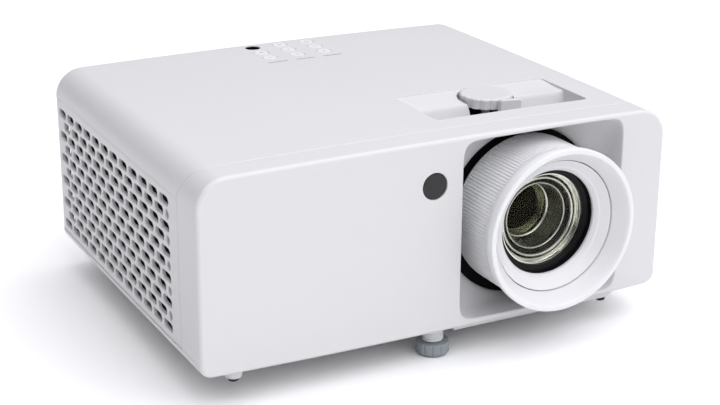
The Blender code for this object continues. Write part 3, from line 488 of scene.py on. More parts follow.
def faceRow(points, depth):
    return [(x, faceY + depth, z) for x, z in points]


def coverRow(points, drop):
    return [(x, faceY + d, coverHeight(x, d) - drop) for x, d in points]


def edgeRows(part, depthOf, edge):
    # the rounded edge of a shell along a seam
    return [skinRow(part, lambda k: depthOf(k) + inward, gone) for inward, gone in quarter(edge)]


def bendStrip(maker, outer, inner, side):
    # a curved strip of a shell with its inner face, and the edge beside it
    loop = outer + inner[::-1]
    maker.rows(loop + loop[:1], closed=False)
    maker.rows([[row[side] for row in outer[-len(inner):]], [row[side] for row in inner]], closed=False)


def rearFillet(flat, radius, steps):
    # the depths of a rounded rear edge that starts at flat
    return [flat + radius * sin(pi / 2 * i / steps) for i in range(steps + 1)]


# front bezel: face, rounded edge, band to the seam, funnel round the lens
funnel = {
    "halfWidth": 61, "halfHeight": 60.5, "centreZ": standZ + 65, "radius": 57.3, "depth": 27, "wall": 1.6,
    "squareness": 14, "drop": 2.4,  # its round rear end sits this much lower than its mouth
    "lip": 0.9, "steps": 192, "rings": 36,
    "mouldLine": 0.06,  # turning lines that the mould leaves, one every 0.7 mm
}
window = {"x": -8.6, "z": standZ + 99.8, "radius": 8.5, "gap": 0.3, "steps": 64}
foot = {"x": 0, "depth": 14, "bore": 7.3, "boss": 9.8, "bossTop": standZ + 14}
bump = {"x": -141, "depth": 14, "radius": 5.5, "low": 14}


def funnelRing(depth, grow=0.0):
    share = min(max(depth / funnel["depth"], 0), 1)
    power = 2 / (funnel["squareness"] + (2 - funnel["squareness"]) * sin(share * pi / 2))
    halfX = funnel["halfWidth"] + (funnel["radius"] - funnel["halfWidth"]) * share + grow
    halfZ = funnel["halfHeight"] + (funnel["radius"] - funnel["halfHeight"]) * share + grow
    points = []
    for i in range(funnel["steps"]):
        turn = 2 * pi * (i + 0.5) / funnel["steps"]
        x = halfX * abs(cos(turn)) ** power * (1 if cos(turn) > 0 else -1)
        z = halfZ * abs(sin(turn)) ** power * (1 if sin(turn) > 0 else -1)
        points.append((lensX + x, funnel["centreZ"] - funnel["drop"] * share + z))
    return points


def makeBezel():
    maker, edge, wall, faceEdge = Maker(), case["edge"], case["wall"], case["faceEdge"]
    everyPoint = range(ringCount)
    bore = window["radius"] + window["gap"]

    def windowRing(radius):
        return circlePoints(radius, window["steps"], (window["x"], window["z"]))

    holes = [funnelRing(0, funnel["lip"]), windowRing(bore + edge)]
    maker.sheet(caseRing(0), holes, lambda x, z: (x, faceY, z))
    holes = [funnelRing(wall, funnel["wall"]), windowRing(bore)]
    maker.sheet(caseRing(faceEdge, wall), holes, lambda x, z: (x, faceY + wall, z))
    rows = [skinRow(everyPoint, at(inset)) for inset, _ in quarter(faceEdge, 10)]
    for share in (0.33, 0.66):
        rows.append(skinRow(everyPoint, lambda k: faceEdge + (seamDepth(k) - edge - faceEdge) * share))
    for inset, gone in quarter(edge)[::-1]:
        rows.append(skinRow(everyPoint, lambda k: seamDepth(k) - inset, gone))
    maker.rows(rows + [skinRow(everyPoint, seamDepth, wall), skinRow(everyPoint, at(faceEdge), wall)])
    rows = [faceRow(funnelRing(0, gone), inset) for inset, gone in quarter(funnel["lip"], 6)]
    for i in range(1, funnel["rings"] + 1):
        depth = funnel["lip"] + (funnel["depth"] - funnel["lip"]) * i / funnel["rings"]
        rows.append(faceRow(funnelRing(depth, funnel["mouldLine"] * (i % 2)), depth))
    for depth in (funnel["depth"], 20, 12, 6, wall):
        rows.append(faceRow(funnelRing(depth, funnel["wall"]), depth))
    maker.rows(rows)
    rows = [faceRow(windowRing(bore + gone), inset) for inset, gone in quarter(edge)]
    maker.rows(rows + [faceRow(windowRing(bore), wall)])
    low, high = standZ - 0.1, foot["bossTop"]
    profile = [(foot["bore"], low), (foot["boss"], low), (foot["boss"], high), (foot["bore"], high)]
    maker.hoop(eased(profile), "Z", (foot["x"], faceY + foot["depth"], 0), 48)
    low, radius = bump["low"], bump["radius"]
    profile = eased([(0, low), (radius, low), (radius + 0.6, bellyHeight(bump["x"]) + 1)], 0.8, 3, False)
    maker.rows(turned(profile, "Z", (bump["x"], faceY + bump["depth"], 0), 32))
    return maker.piece("bezelShell", caseWhite, "case", stands=["front_bezel"])


makeBezel()
print("bezel made")

# top cover: shoulders, crown with keypad holes, and the recess for the dial
keypad = {
    "x": 4.6, "depth": 239, "pitchX": 22, "pitchDepth": 15.3, "radius": 5.4, "gap": 0.3, "edge": 0.2,
    "flange": 1.6, "steps": 48, "barLength": 14.3, "barWidth": 1.2, "barDepth": 209.8,
}
keys = {"power_button": (0, 1), "source_button": (1, 1), "menu_button": (-1, 0), "up_button": (0, 0),
        "back_button": (1, 0), "left_button": (-1, -1), "enter_button": (0, -1), "right_button": (1, -1)}
topWindow = (-1, 1)
bars = {"power_indicator": -1, "heat_indicator": 0, "light_indicator": 1}
recess = {
    "left": 14, "right": 131, "front": 38, "foot": 62, "step": 66, "rear": 93, "drop": 16, "stepDrop": 2.5,
    "rearDrop": 0.55, "corner": 3, "edge": 0.8, "wall": 2,
    # below "dark" the pocket's wall is black: painted shade for the unlit inside of the case that shows
    # round the dial
    "pocket": 19.7, "shaftHole": 0.25, "dialDepth": 73, "dark": 5,
    "slotDepth": 51, "slotHalf": 3.5, "slotReach": 31.92,
    # depths where the floor gets rows of points, close together at its bends
    "bends": [60.4, 61.2, 62, 62.8, 63.6, 64.4, 65.2, 66, 66.8, 67.6, 72, 78, 84],
}
dialBase = coverHeight(lensX, recess["dialDepth"])


def keyPlace(column, row):
    return (keypad["x"] + column * keypad["pitchX"], keypad["depth"] + row * keypad["pitchDepth"])


def barOutline(name, grow):
    centre = (keypad["x"] + bars[name] * keypad["pitchX"], keypad["barDepth"])
    halfWidth = keypad["barWidth"] / 2 + grow
    return roundedBox(keypad["barLength"] / 2 + grow, halfWidth, min(0.5, halfWidth * 0.9), centre)


def floorDrop(depth):
    # flat floor, short steep wall, long gentle ledge, with the bends rounded
    knots = [(recess[place], recess[drop])
             for place, drop in (("foot", "drop"), ("step", "stepDrop"), ("rear", "rearDrop"))]

    def plain(d):
        if d <= recess["foot"]:
            return recess["drop"]
        (d0, z0), (d1, z1) = knots[:2] if d <= recess["step"] else knots[1:]
        return z0 + (z1 - z0) * (d - d0) / (d1 - d0)

    return sum(plain(depth + shift) for shift in (-0.8, -0.4, 0, 0.4, 0.8)) / 5


def recessFloor(x, depth):
    lift = coverHeight(x, depth) - dialBase if depth > recess["step"] else 0
    return dialBase - floorDrop(depth) + lift * min((depth - recess["step"]) / 10, 1)


def recessOutline(grow=0.0):
    left, right, front, rear = (recess[side] for side in ("left", "right", "front", "rear"))
    raw = roundedBox((right - left) / 2 + grow, (rear - front) / 2 + grow, recess["corner"] + grow,
                     ((left + right) / 2, (front + rear) / 2))
    stops = [45, 52, 58] + recess["bends"]
    points = []
    for (x0, d0), (x1, d1) in zip(raw, raw[1:] + raw[:1]):
        points.append((x0, d0))
        if abs(d1 - d0) > 20:
            points += [(x0, d) for d in (stops if d1 > d0 else stops[::-1])]
        elif abs(x1 - x0) > 20:
            points += [(x0 + (x1 - x0) * i / 20, d0) for i in range(1, 20)]
    return points


def rimEdge(depth):
    return min(recess["edge"], floorDrop(depth) * 0.6)


def rimRow(share):
    # from the recess's wall, share 0, out to its rim, share 1; the rim gets finer as the floor rises
    row = []
    for (ox, od), (ix, nd) in zip(recessOutline(recess["edge"]), recessOutline()):
        reach = share * rimEdge(nd) / recess["edge"]
        row.append((ix + (ox - ix) * reach, nd + (od - nd) * reach))
    return row


def makeRecess(maker, shadeWells):
    inner = recessOutline()
    rows = []
    for i in range(5):
        turn = pi / 2 * i / 4
        drops = [rimEdge(nd) * (1 - cos(turn)) for _, nd in inner]
        rows.append([(x, faceY + d, coverHeight(x, d) - drop)
                     for (x, d), drop in zip(rimRow(1 - sin(turn)), drops)])
    rows.append([(x, faceY + d, recessFloor(x, d)) for x, d in inner])
    maker.rows(rows)
    # the pocket starts where the floor begins to rise; in front of that, both are one floor
    centreD, radius = recess["dialDepth"], recess["pocket"]
    pocket = [p for p in circlePoints(radius, 180, (lensX, centreD)) if p[1] > 58]
    slot = roundedBox(recess["slotReach"], recess["slotHalf"], 1.2, (lensX, recess["slotDepth"]))
    extra = []
    for d in recess["bends"]:
        for i in range(1, 40):
            x = recess["left"] + (recess["right"] - recess["left"]) * i / 40
            if hypot(x - lensX, d - centreD) > radius + 0.5:
                extra.append((x, d))
    maker.sheet(inner, [pocket, slot], lambda x, d: (x, faceY + d, recessFloor(x, d)), extra)
    top = [(x, faceY + d, recessFloor(x, d)) for x, d in pocket]
    middle = [(x, y, min(z, dialBase - recess["dark"])) for x, y, z in top]
    low = [(x, y, dialBase - recess["drop"]) for x, y, z in top]
    # the well's floor leaves a hole for the shaft
    centreY, hole = faceY + centreD, recess["shaftHole"]
    within = [(lensX + (x - lensX) * hole, centreY + (y - centreY) * hole, z) for x, y, z in low]
    maker.rows([top, middle])
    # the wall below "dark", the floor round the shaft and the slot's walls are black: painted shade
    shadeWells.rows([middle, low])
    shadeWells.rows([low, within])
    floor = dialBase - recess["drop"]
    shadeWells.rows([[(x, faceY + d, z) for x, d in slot] for z in (floor, floor - recess["wall"])])


def makeTopCover():
    maker, shadeWells = Maker(), Maker()
    edge, wall, gap = case["edge"], case["wall"], case["seamGap"]
    first = case["seamSide"] + 1
    stations = [first + (flatEnd - first) * i / 16 for i in range(17)]
    fillet = rearFillet(flatEnd, case["rearTop"], 8)
    rearEnd, innerEnd = case["depth"] - edge, case["depth"] - 1

    def front(part, inset):
        def start(k):
            return seamDepth(k) + gap
        return [skinRow(part, start, inset)] if inset else edgeRows(part, start, edge)

    for part in (leftShoulder, rightShoulder):
        depths = stations + fillet[1:-1]
        outer = front(part, 0) + [skinRow(part, at(d)) for d in depths + [rearEnd]]
        inner = front(part, wall) + [skinRow(part, at(d), wall) for d in depths + [innerEnd]]
        bendStrip(maker, outer, inner, 0 if part is leftShoulder else -1)
    for inset in (0, wall):
        maker.rows(front(crown, inset), closed=False)
        rows = [skinRow(crown, at(d), inset) for d in fillet[:-1]]
        maker.rows(rows + [skinRow(crown, at(innerEnd if inset else rearEnd), inset)], closed=False)
        frontDepth = case["seamTop"] + gap + (0 if inset else edge)
        ringAt = {d: caseRing(d) for d in [frontDepth, *stations]}
        left = [(ring[crown[0]][0], d) for d, ring in ringAt.items()]
        right = [(ring[crown[-1]][0], d) for d, ring in ringAt.items()]
        near = [(ringAt[frontDepth][k][0], frontDepth) for k in crown[1:-1]]
        far = [(ringAt[flatEnd][k][0], flatEnd) for k in crown[1:-1]]
        outline = near + right + far[::-1] + left[::-1]
        bore = keypad["radius"] + keypad["gap"] + (0 if inset else keypad["edge"])
        holes = [circlePoints(bore, keypad["steps"], keyPlace(*place))
                 for place in [*keys.values(), topWindow]]
        holes += [barOutline(name, keypad["gap"]) for name in bars]
        holes.append(recessOutline(recess["wall"]) if inset else rimRow(1))
        maker.sheet(outline, holes, lambda x, d: (x, faceY + d, coverHeight(x, d) - inset),
                    gridPoints(outline, holes, 11))
    for place in [*keys.values(), topWindow]:
        centre, bore = keyPlace(*place), keypad["radius"] + keypad["gap"]
        rows = [coverRow(circlePoints(bore + gone, keypad["steps"], centre), inset)
                for inset, gone in quarter(keypad["edge"]) + [(wall, 0)]]
        maker.rows(rows)
    for name in bars:
        maker.rows([coverRow(barOutline(name, keypad["gap"]), inset) for inset in (0, wall)])
    makeRecess(maker, shadeWells)
    # the black well piece is painted shade for the unlit inside of the case
    shadeWells.piece("dialWellShade", blackAbs, "case", slot="black_plastic")
    return maker.piece("coverShell", caseWhite, "case", stands=["top_cover"])


makeTopCover()
print("top cover made")

# side panels with their grilles, and a black sheet behind them that is painted shade
grille = {
    "rows": 11, "columns": 12, "pitchZ": 8.3, "pitchDepth": 18.2, "halfLength": 7.8, "halfHeight": 2.8,
    "firstZ": standZ + 17.8, "firstDepth": 52.5, "shortLength": 3.0, "lip": 0.9, "steps": 8,
    "shadeSheetBehind": 8.5, "shadeSheetHalf": (108, 49), "shadeSheetMiddle": (152, 59.5),
}


def stadium(centre, halfLength, halfHeight, steps):
    reach = halfLength - halfHeight
    points = arcPoints((centre[0] + reach, centre[1]), halfHeight, -pi / 2, pi / 2, steps)
    return points + arcPoints((centre[0] - reach, centre[1]), halfHeight, pi / 2, 1.5 * pi, steps)


def slotList():
    found = []
    for row in range(grille["rows"]):
        z = grille["firstZ"] + row * grille["pitchZ"]
        odd = row % 2
        for column in range(grille["columns"] - odd):
            depth = grille["firstDepth"] + (column + 0.5 * odd) * grille["pitchDepth"]
            found.append(((depth, z), grille["halfLength"]))
        if odd:
            depth = grille["firstDepth"] - grille["halfLength"] + grille["shortLength"]
            found.append(((depth, z), grille["shortLength"]))
    return found


def makeSidePanel(sign):
    maker, edge, wall = Maker(), case["edge"], case["sideWall"]
    part = list(range(0, topStart)) if sign < 0 else list(range(rightStart, bellyStart))
    flat = case["depth"] - case["rearSide"]
    fillet = rearFillet(flat, case["rearSide"], 8)
    start = case["seamSide"] + case["seamGap"]
    slots = slotList()

    def onSide(d, z, inset):
        x = case["width"] / 2 - case["taper"] * (d / case["depth"]) ** 2 - inset - case["sideStep"]
        return (sign * x, faceY + d, z)

    for inset in (0, wall):
        rows = [skinRow(part, at(start), wall)] if inset else edgeRows(part, at(start), edge)
        maker.rows(rows, closed=False)
        rows = [skinRow(part, at(d), inset) for d in fillet[:-1]]
        maker.rows(rows + [skinRow(part, at(case["depth"] - (1 if inset else edge)), inset)], closed=False)
        first = start + (0 if inset else edge)
        depths = [first, *[first + (flat - first) * i / 12 for i in range(1, 12)], flat]
        rings = {d: caseRing(d, inset) for d in depths}
        lower = [(d, min(rings[d][k][1] for k in part)) for d in depths]
        upper = [(d, max(rings[d][k][1] for k in part)) for d in depths]
        near, far = ([(d, z) for z in sorted(rings[d][k][1] for k in part)[1:-1]] for d in (first, flat))
        lip = 0 if inset else grille["lip"]
        holes = [stadium(centre, half + lip, grille["halfHeight"] + lip, grille["steps"])
                 for centre, half in slots]
        maker.sheet(lower + far + upper[::-1] + near[::-1], holes, lambda d, z: onSide(d, z, inset))
    for centre, half in slots:
        maker.rows([[onSide(d, z, inset)
                     for d, z in stadium(centre, half + gone, grille["halfHeight"] + gone, grille["steps"])]
                    for inset, gone in quarter(grille["lip"], 4) + [(wall, 0)]])
    name = "left" if sign < 0 else "right"
    maker.piece(f"{name}Grille", caseWhite, "case", stands=[f"{name}_side_panel"])
    # a black sheet behind the slots: painted shade for the unlit inside of the case seen through them
    shadeSheet = Maker()
    x = sign * (case["width"] / 2 - grille["shadeSheetBehind"] - 1)
    middleD, middleZ = grille["shadeSheetMiddle"]
    outline = roundedBox(*grille["shadeSheetHalf"], 3, (faceY + middleD, standZ + middleZ))
    block(shadeSheet, outline, x - 0.5, x + 0.5, 0.2, alongX)
    shadeSheet.piece(f"{name}ShadeSheet", matteBlack, "case", slot="black_plastic")


makeSidePanel(-1)
makeSidePanel(1)
print("side panels made")

# bottom case with the tub under the lens
tub = {"left": 9.5, "right": 143, "front": 5, "rear": 200, "drop": 5, "taper": 3, "corner": 7, "edge": 0.8}
rearFeet = {"rear_left_foot": (-118, 238), "rear_right_foot": (118, 238)}
caseScrews = {"case_screw_front_left": (-120, 62), "case_screw_front_right": (150, 62),
              "case_screw_rear_left": (-120, 205), "case_screw_rear_right": (150, 205)}

screwHole = {"head": 3.7, "shaft": 1.9, "deep": 1.6}


def makeBottomCase():
    maker, edge, wall = Maker(), case["edge"], case["wall"]
    belly, bend = list(range(bellyStart, ringCount)), case["lowerSteps"]
    last = len(belly) - bend
    rightBend, flatPart, leftBend = belly[:bend + 1], belly[bend:last], belly[last - 1:]
    flat, rearEnd, innerEnd = case["depth"] - case["rearSide"], case["depth"] - edge, case["depth"] - 1
    fillet = rearFillet(flat, case["rearSide"], 6)
    start = case["seamSide"] + case["seamGap"]
    stations = [start + edge + (flat - start - edge) * i / 10 for i in range(11)]
    depths = stations[1:] + fillet[1:-1]
    for part in (rightBend, leftBend):
        outer = edgeRows(part, at(start), edge) + [skinRow(part, at(d)) for d in depths + [rearEnd]]
        inner = [skinRow(part, at(d), wall) for d in [start] + depths + [innerEnd]]
        bendStrip(maker, outer, inner, 0 if part is rightBend else -1)
    for inset in (0, wall):
        if not inset:
            maker.rows(edgeRows(flatPart, at(start), edge), closed=False)
        rows = [skinRow(flatPart, at(d), inset) for d in fillet[:-1]]
        maker.rows(rows + [skinRow(flatPart, at(innerEnd if inset else rearEnd), inset)], closed=False)
        first = start + (0 if inset else edge)
        rings = {d: caseRing(d, inset) for d in [first] + stations[1:]}
        right = [(ring[flatPart[0]][0], d) for d, ring in rings.items()]
        left = [(ring[flatPart[-1]][0], d) for d, ring in rings.items()]
        near = [(rings[first][k][0], first) for k in flatPart[1:-1]]
        far = [(rings[flat][k][0], flat) for k in flatPart[1:-1]]
        outline = left + far[::-1] + right[::-1] + near
        holes = [circlePoints(foot["bore"], 40, place) for place in rearFeet.values()]
        screwRadius = screwHole["shaft" if inset else "head"]
        holes += [circlePoints(screwRadius, 32, place) for place in caseScrews.values()]
        maker.sheet(outline, holes, lambda x, d: (x, faceY + d, bellyHeight(x) + inset),
                    gridPoints(outline, holes, 16))
    head, shaft = screwHole["head"], screwHole["shaft"]
    for x, d in caseScrews.values():
        low = bellyHeight(x)
        seat = low + screwHole["deep"]
        profile = [(head, low), (head, seat), (shaft, seat), (shaft, low + wall)]
        rows = turned(profile, "Z", (x, faceY + d, 0), 32)
        rows[0] = [(a, b, bellyHeight(a)) for a, b, _ in rows[0]]
        rows[-1] = [(a, b, bellyHeight(a) + wall) for a, b, _ in rows[-1]]
        maker.rows(rows)
    bore, boss, bossTop = foot["bore"], foot["boss"], foot["bossTop"]
    for x, d in rearFeet.values():
        low = bellyHeight(x)
        profile = [(bore, low), (bore, bossTop), (boss, bossTop), (boss, low + wall)]
        rows = turned(profile, "Z", (x, faceY + d, 0), 40)
        rows[0] = [(a, b, bellyHeight(a)) for a, b, _ in rows[0]]
        maker.rows(rows)
    left, right, front, rear, corner = (tub[name] for name in ("left", "right", "front", "rear", "corner"))
    outline = [(left, front), (right - corner, front), (right, front + corner), (right, rear), (left, rear)]
    maker.rows(tubRows(eased([(x, faceY + d) for x, d in outline], 2.0, 4)), capStart=True)
    return maker.piece("underShell", caseWhite, "case", stands=["bottom_case"])


def tubRows(outline):
    # from the tub's floor out over its eased edge and up its sloping sides
    rows = []
    floor = standZ - tub["drop"]
    for i in range(5):
        turn = pi / 2 * i / 4
        inset = tub["taper"] * 0.9 + tub["edge"] * (1 - sin(turn))
        rows.append([(x, y, floor + tub["edge"] * (1 - cos(turn))) for x, y in shrunk(outline, inset)])
    rows.append([(x, y, standZ - case["seamGap"]) for x, y in outline])
    rows.append([(x, y, standZ - case["seamGap"]) for x, y in shrunk(outline, 6)])
    return rows


makeBottomCase()
print("bottom case made")

# lens: focus ring with its ribs, trim ring, baffle, barrel, glass
lens = {
    "lipSteps": 1184, "ribs": 148, "ribDepth": 0.8, "ribStart": -16.5, "ribFade": 5, "steps": 160,
    "neck": 50.5,  # ribs and their fade are only outside this radius
    # profiles as radius and depth; the sleeve flares to its lip and narrows to a cone inside
    "sleeveFlare": [(54.45, -21.5), (54.35, -20), (54.0, -18.2), (53.5, -16.5), (53.0, -14.9),
                    (52.5, -13.4), (52.15, -12.2), (52, -11.2), (52, -9), (52, -4), (52, 2), (52, 8),
                    (52, 14), (52, 20), (52, 22.8), (51.9, 23.6), (51.4, 24)],
    "sleeveInside": [(46.8, 24), (46.3, 23.5), (46.3, -6), (44.3, -12), (44.3, -15), (45.8, -17),
                     (50.4, -24.0), (51.4, -25)],
    "trim": [(43.8, -14.4), (38.6, -9.6), (37.6, -9.2), (35.2, -6.6), (35.2, -4.4), (43.8, -4.4)],
    "baffle": [(36.1, -3.7), (36.1, 0.9), (31.2, 0.9), (31.2, -0.3), (32.6, -0.3), (32.8, -0.7),
               (34.8, -1.0), (35.1, -3.7)],
    "barrelOutside": [(36.4, -4), (45.8, -4), (45.8, 28), (39, 31), (39, 60), (38, 60), (38, 100),
                      (16.9, 100), (16.9, 89)],
    # each metal ring has a bright rounded front edge and a narrow dark groove behind it
    "barrelInside": [
        (15.4, 89), (15.4, 31), (17.9, 31), (17.9, 23.4), (18.4, 22.8), (18.9, 22.6), (21.4, 11.5),
        (21.6, 9.2), (22.0, 8.6), (22.4, 8.6), (22.8, 9.2), (22.8, 10.6), (25.4, 10.6), (25.5, 6.6),
        (25.9, 5.8), (26.6, 5.5), (27.2, 5.8), (27.4, 6.6), (27.4, 8.4), (28.2, 8.4), (28.2, 6.2),
        (28.6, 5.4), (29.3, 5.2), (30.1, 5.2), (30.1, 1.2), (36.4, 1.2)],
    "spacers": [[(22.9, 10.2), (25.3, 10.2), (25.3, 10.55), (22.9, 10.55)],
                [(27.45, 8.0), (28.15, 8.0), (28.15, 8.35), (27.45, 8.35)]],
    "innerSleeve": [(15.3, 31.5), (15.3, 60), (10.2, 60), (10.2, 59), (14.6, 58), (14.6, 31.5)],
    "seal": [(48.9, 28.2), (62, 28.2), (62, 29.6), (48.9, 29.6)],
}
lensPlace = (lensX, faceY, lensZ)


def focusRipple(turn, radius, along):
    if radius < lens["neck"] or along < lens["ribStart"]:
        return 0
    share = min((along - lens["ribStart"]) / lens["ribFade"], 1)
    into = abs((lens["ribs"] * turn / (2 * pi)) % 1 - 0.5)
    return -lens["ribDepth"] * share * max(1 - into / 0.3, 0) if along < 23 else 0


def makeFocusRing():
    outside = arcPoints((53.5, -24.0), 1.0, -pi / 2, 0, 6) + lens["sleeveFlare"]
    inside = eased([lens["sleeveFlare"][-1]] + lens["sleeveInside"], 0.5, 4, False)[1:]
    ring = Maker().hoop(outside + inside, "Y", lensPlace, lens["lipSteps"], focusRipple)
    ring.piece("focusSleeve", ringWhite, "focus_ring", stands=["focus_ring"], slot="white_lens_ring",
               sharp=40)


def makeTrim():
    trim = Maker().hoop(eased(lens["trim"], 0.8, 5), "Y", lensPlace, lens["steps"])
    trim.piece("trimRing", ringWhite, "lens_carriage", stands=["lens_trim_ring"], slot="white_lens_ring",
               sharp=50)
    baffle = Maker().hoop(eased(lens["baffle"], 0.15, 2), "Y", lensPlace, lens["steps"])
    baffle.piece("baffleRing", blackAbs, "lens_carriage", stands=["lens_baffle"], slot="black_plastic")


def makeBarrel():
    profile = lens["barrelOutside"] + lens["barrelInside"]
    barrel = Maker().hoop(eased(profile, 0.12, 2), "Y", lensPlace, lens["steps"])
    barrel.piece("lensBarrel", turnedAluminium, "lens_carriage", stands=["lens_barrel"],
                 slot="silver_barrel")
    spacers = Maker()
    for profile in lens["spacers"]:
        spacers.hoop(eased(profile, 0.1, 2), "Y", lensPlace, lens["steps"])
    spacers.piece("barrelSpacers", blackAbs, "lens_carriage", slot="black_plastic")
    sleeve = Maker().hoop(eased(lens["innerSleeve"], 0.15, 2), "Y", lensPlace)
    sleeve.piece("innerSleeve", blackAbs, "lens_carriage", slot="black_plastic")


def sag(radius, bulge, r):
    sphere = (radius**2 + bulge**2) / (2 * abs(bulge))
    return (sqrt(sphere**2 - r**2) - (sphere - abs(bulge))) * (1 if bulge > 0 else -1)


def makeGlass(name, stands, radius, front, rear, frontBulge, rearBulge, material, slot):
    # a ground lens: two spherical faces that end in a narrow bevel at the rim
    bevel, count = 0.25, 14
    rim = radius - bevel
    radii = [rim * i / count for i in range(count + 1)]
    profile = [(max(r, 0.01), front - sag(rim, frontBulge, r)) for r in radii]
    profile += [(radius, front + bevel), (radius, rear - bevel)]
    profile += [(max(r, 0.01), rear + sag(rim, rearBulge, r)) for r in radii[::-1]]
    glass = Maker().solid(profile, "Y", lensPlace)
    glass.piece(name, material, "lens_carriage", stands=stands, slot=slot)


def makeLightSeal():
    # black foam behind the funnel keeps light out of the case; the lens moves inside it
    seal = Maker().hoop(eased(lens["seal"], 0.4), "Y", lensPlace)
    seal.piece("lightSeal", matteBlack, "case", slot="black_plastic")


makeLightSeal()
makeFocusRing()
makeTrim()
makeBarrel()
# name, CAD node, radius, front and rear rim depths, front and rear bulges
for name, stands, radius, front, rear, frontBulge, rearBulge, surface, slot in (
        ("frontElement", ["front_lens"], 29.8, 1.4, 4.8, 3.0, -2.2, opticalGlass, "coated_glass"),
        ("middleElement", ["middle_lens"], 17.6, 24, 30, 3.5, -1.5, middleGlass, "dark_glass"),
        ("deepElement", [], 10, 52, 58, 2.0, -1.0, deepCoated, "dark_glass")):
    makeGlass(name, stands, radius, front, rear, frontBulge, rearBulge, surface, slot)
print("lens made")

# zoom ring with its lever, and the lens shift dial
zoom = {"rest": radians(4.5), "inner": 39.3, "outer": 43, "front": 38, "rear": 54, "stemHalf": 4,
        "tabHalf": 8, "tabLow": 58, "tabHigh": 67.5, "corner": 2, "near": 49, "far": 53, "edge": 0.6,
        "grooves": 60, "grooveDepth": 0.3}
dial = {"radius": 18, "lobes": 16, "lobeDepth": 0.9, "low": -5.5, "top": 1.5, "chamfer": 1.0, "steps": 320,
        "hub": 12,  # the lobes are only outside this radius
        "shaft": 3, "teeth": 16, "module": 1.875, "gearThickness": 3.4}


def makeZoomLever():
    tilt = Matrix.Rotation(zoom["rest"], 3, "Y")

    def place(a, b, y):
        spot = tilt @ Vector((a, 0, b))
        return (lensX + spot.x, faceY + y, lensZ + spot.z)

    def grooves(turn, radius, along):
        if radius < zoom["outer"] - 0.1 or not zoom["front"] + 2 < along < zoom["rear"] - 2:
            return 0
        return -zoom["grooveDepth"] * (sin(zoom["grooves"] * turn) > 0)

    inner, outer, front, rear = (zoom[name] for name in ("inner", "outer", "front", "rear"))
    profile = [(inner, front), (outer, front), (outer, rear), (inner, rear)]
    lever = Maker().hoop(eased(profile, 0.5), "Y", lensPlace, 128, grooves)
    half, tab, corner = zoom["stemHalf"], zoom["tabHalf"], zoom["corner"]
    low, top = zoom["tabLow"], zoom["tabHigh"]
    outline = [(-half, outer - 0.8), (half, outer - 0.8), (half, low), (tab, low)]
    outline += arcPoints((tab - corner, top - corner), corner, 0, pi / 2, 6)
    outline += arcPoints((corner - tab, top - corner), corner, pi / 2, pi, 6)
    outline += [(-tab, low), (-half, low)]
    block(lever, outline, zoom["near"], zoom["far"], zoom["edge"], place, 4)
    lever.piece("zoomLever", caseWhite, "zoom_ring", stands=["zoom_ring"])


def lobeRipple(turn, radius, along):
    if radius < dial["hub"]:
        return 0
    return -dial["lobeDepth"] * (1 - abs(sin(dial["lobes"] / 2 * turn)) ** 0.55)


def makeDial():
    r, low, top, shaft = dial["radius"], dial["low"], dial["top"], dial["shaft"]
    centre = (lensX, faceY + recess["dialDepth"], dialBase)
    profile = [(shaft, low), (14, low)] + [(r - gone, low + inset) for inset, gone in quarter(0.4)]
    profile += [(r, -3), (r, -1), (r, top - dial["chamfer"] - 0.3)]
    profile += arcPoints((r - 1.3, top - 1.3), 1.3, 0.1, pi / 2, 6)
    profile += [(15.5, top), (11.9, top - 0.02), (6, top - 0.05)]
    maker = Maker().solid(profile, "Z", centre, dial["steps"], lobeRipple)
    gearLow = -recess["drop"] - recess["wall"] - 0.8 - dial["gearThickness"]
    maker.solid([(shaft, gearLow + 1), (shaft, low + 1)], "Z", centre, 32)
    pitch = dial["module"] * dial["teeth"] / 2
    root, tip = pitch - 1.1 * dial["module"], pitch + 0.8 * dial["module"]
    outline = []
    for i in range(dial["teeth"]):
        for offset, radius in ((-0.27, root), (-0.12, tip), (0.12, tip), (0.27, root)):
            turn = 2 * pi * (i + offset) / dial["teeth"]
            outline.append((centre[0] + radius * cos(turn), centre[1] + radius * sin(turn)))
    low = dialBase + gearLow
    block(maker, outline, low, low + dial["gearThickness"], 0.2, alongZ, 2)
    maker.piece("shiftDial", caseWhite, "lens_shift_dial", stands=["lens_shift_dial"])


makeZoomLever()
makeDial()
print("lever and dial made")

# keypad: keys with printed signs, indicators, remote windows
def signParts(name):
    # generic signs, each as outlines about 3 mm across, centred on the key
    bar = lambda x0, y0, x1, y1: [(x0, y0), (x1, y0), (x1, y1), (x0, y1)]
    ring = lambda radius, start, end: (arcPoints((0, 0), radius, start, end, 18)
                                       + arcPoints((0, 0), radius - 0.28, end, start, 18))
    arrow = [(-1.0, -0.6), (1.0, -0.6), (0, 0.9)]
    turn = {"left_button": pi / 2, "right_button": -pi / 2, "up_button": 0}
    if name == "power_button":
        return [ring(1.3, 0.7 * pi, 2.3 * pi), bar(-0.14, 0.3, 0.14, 1.6)]
    if name == "source_button":
        return [bar(-1.4, -1, 1.4, -0.72), bar(-1.4, 0.72, 1.4, 1.0), bar(1.12, -0.72, 1.4, 0.72),
                [(-1.5, -0.4), (-0.2, 0), (-1.5, 0.4)]]
    if name == "menu_button":
        return [bar(-1.3, y, 1.3, y + 0.28) for y in (-0.95, -0.14, 0.67)]
    if name == "back_button":
        return [ring(1.1, -0.6 * pi, 0.6 * pi), [(-1.5, 1.05), (-0.3, 0.5), (-0.3, 1.6)]]
    if name == "enter_button":
        return [ring(1.0, 0.02, 1.98 * pi)]
    c, s = cos(turn[name]), sin(turn[name])
    return [[(x * c - y * s, x * s + y * c) for x, y in arrow]]


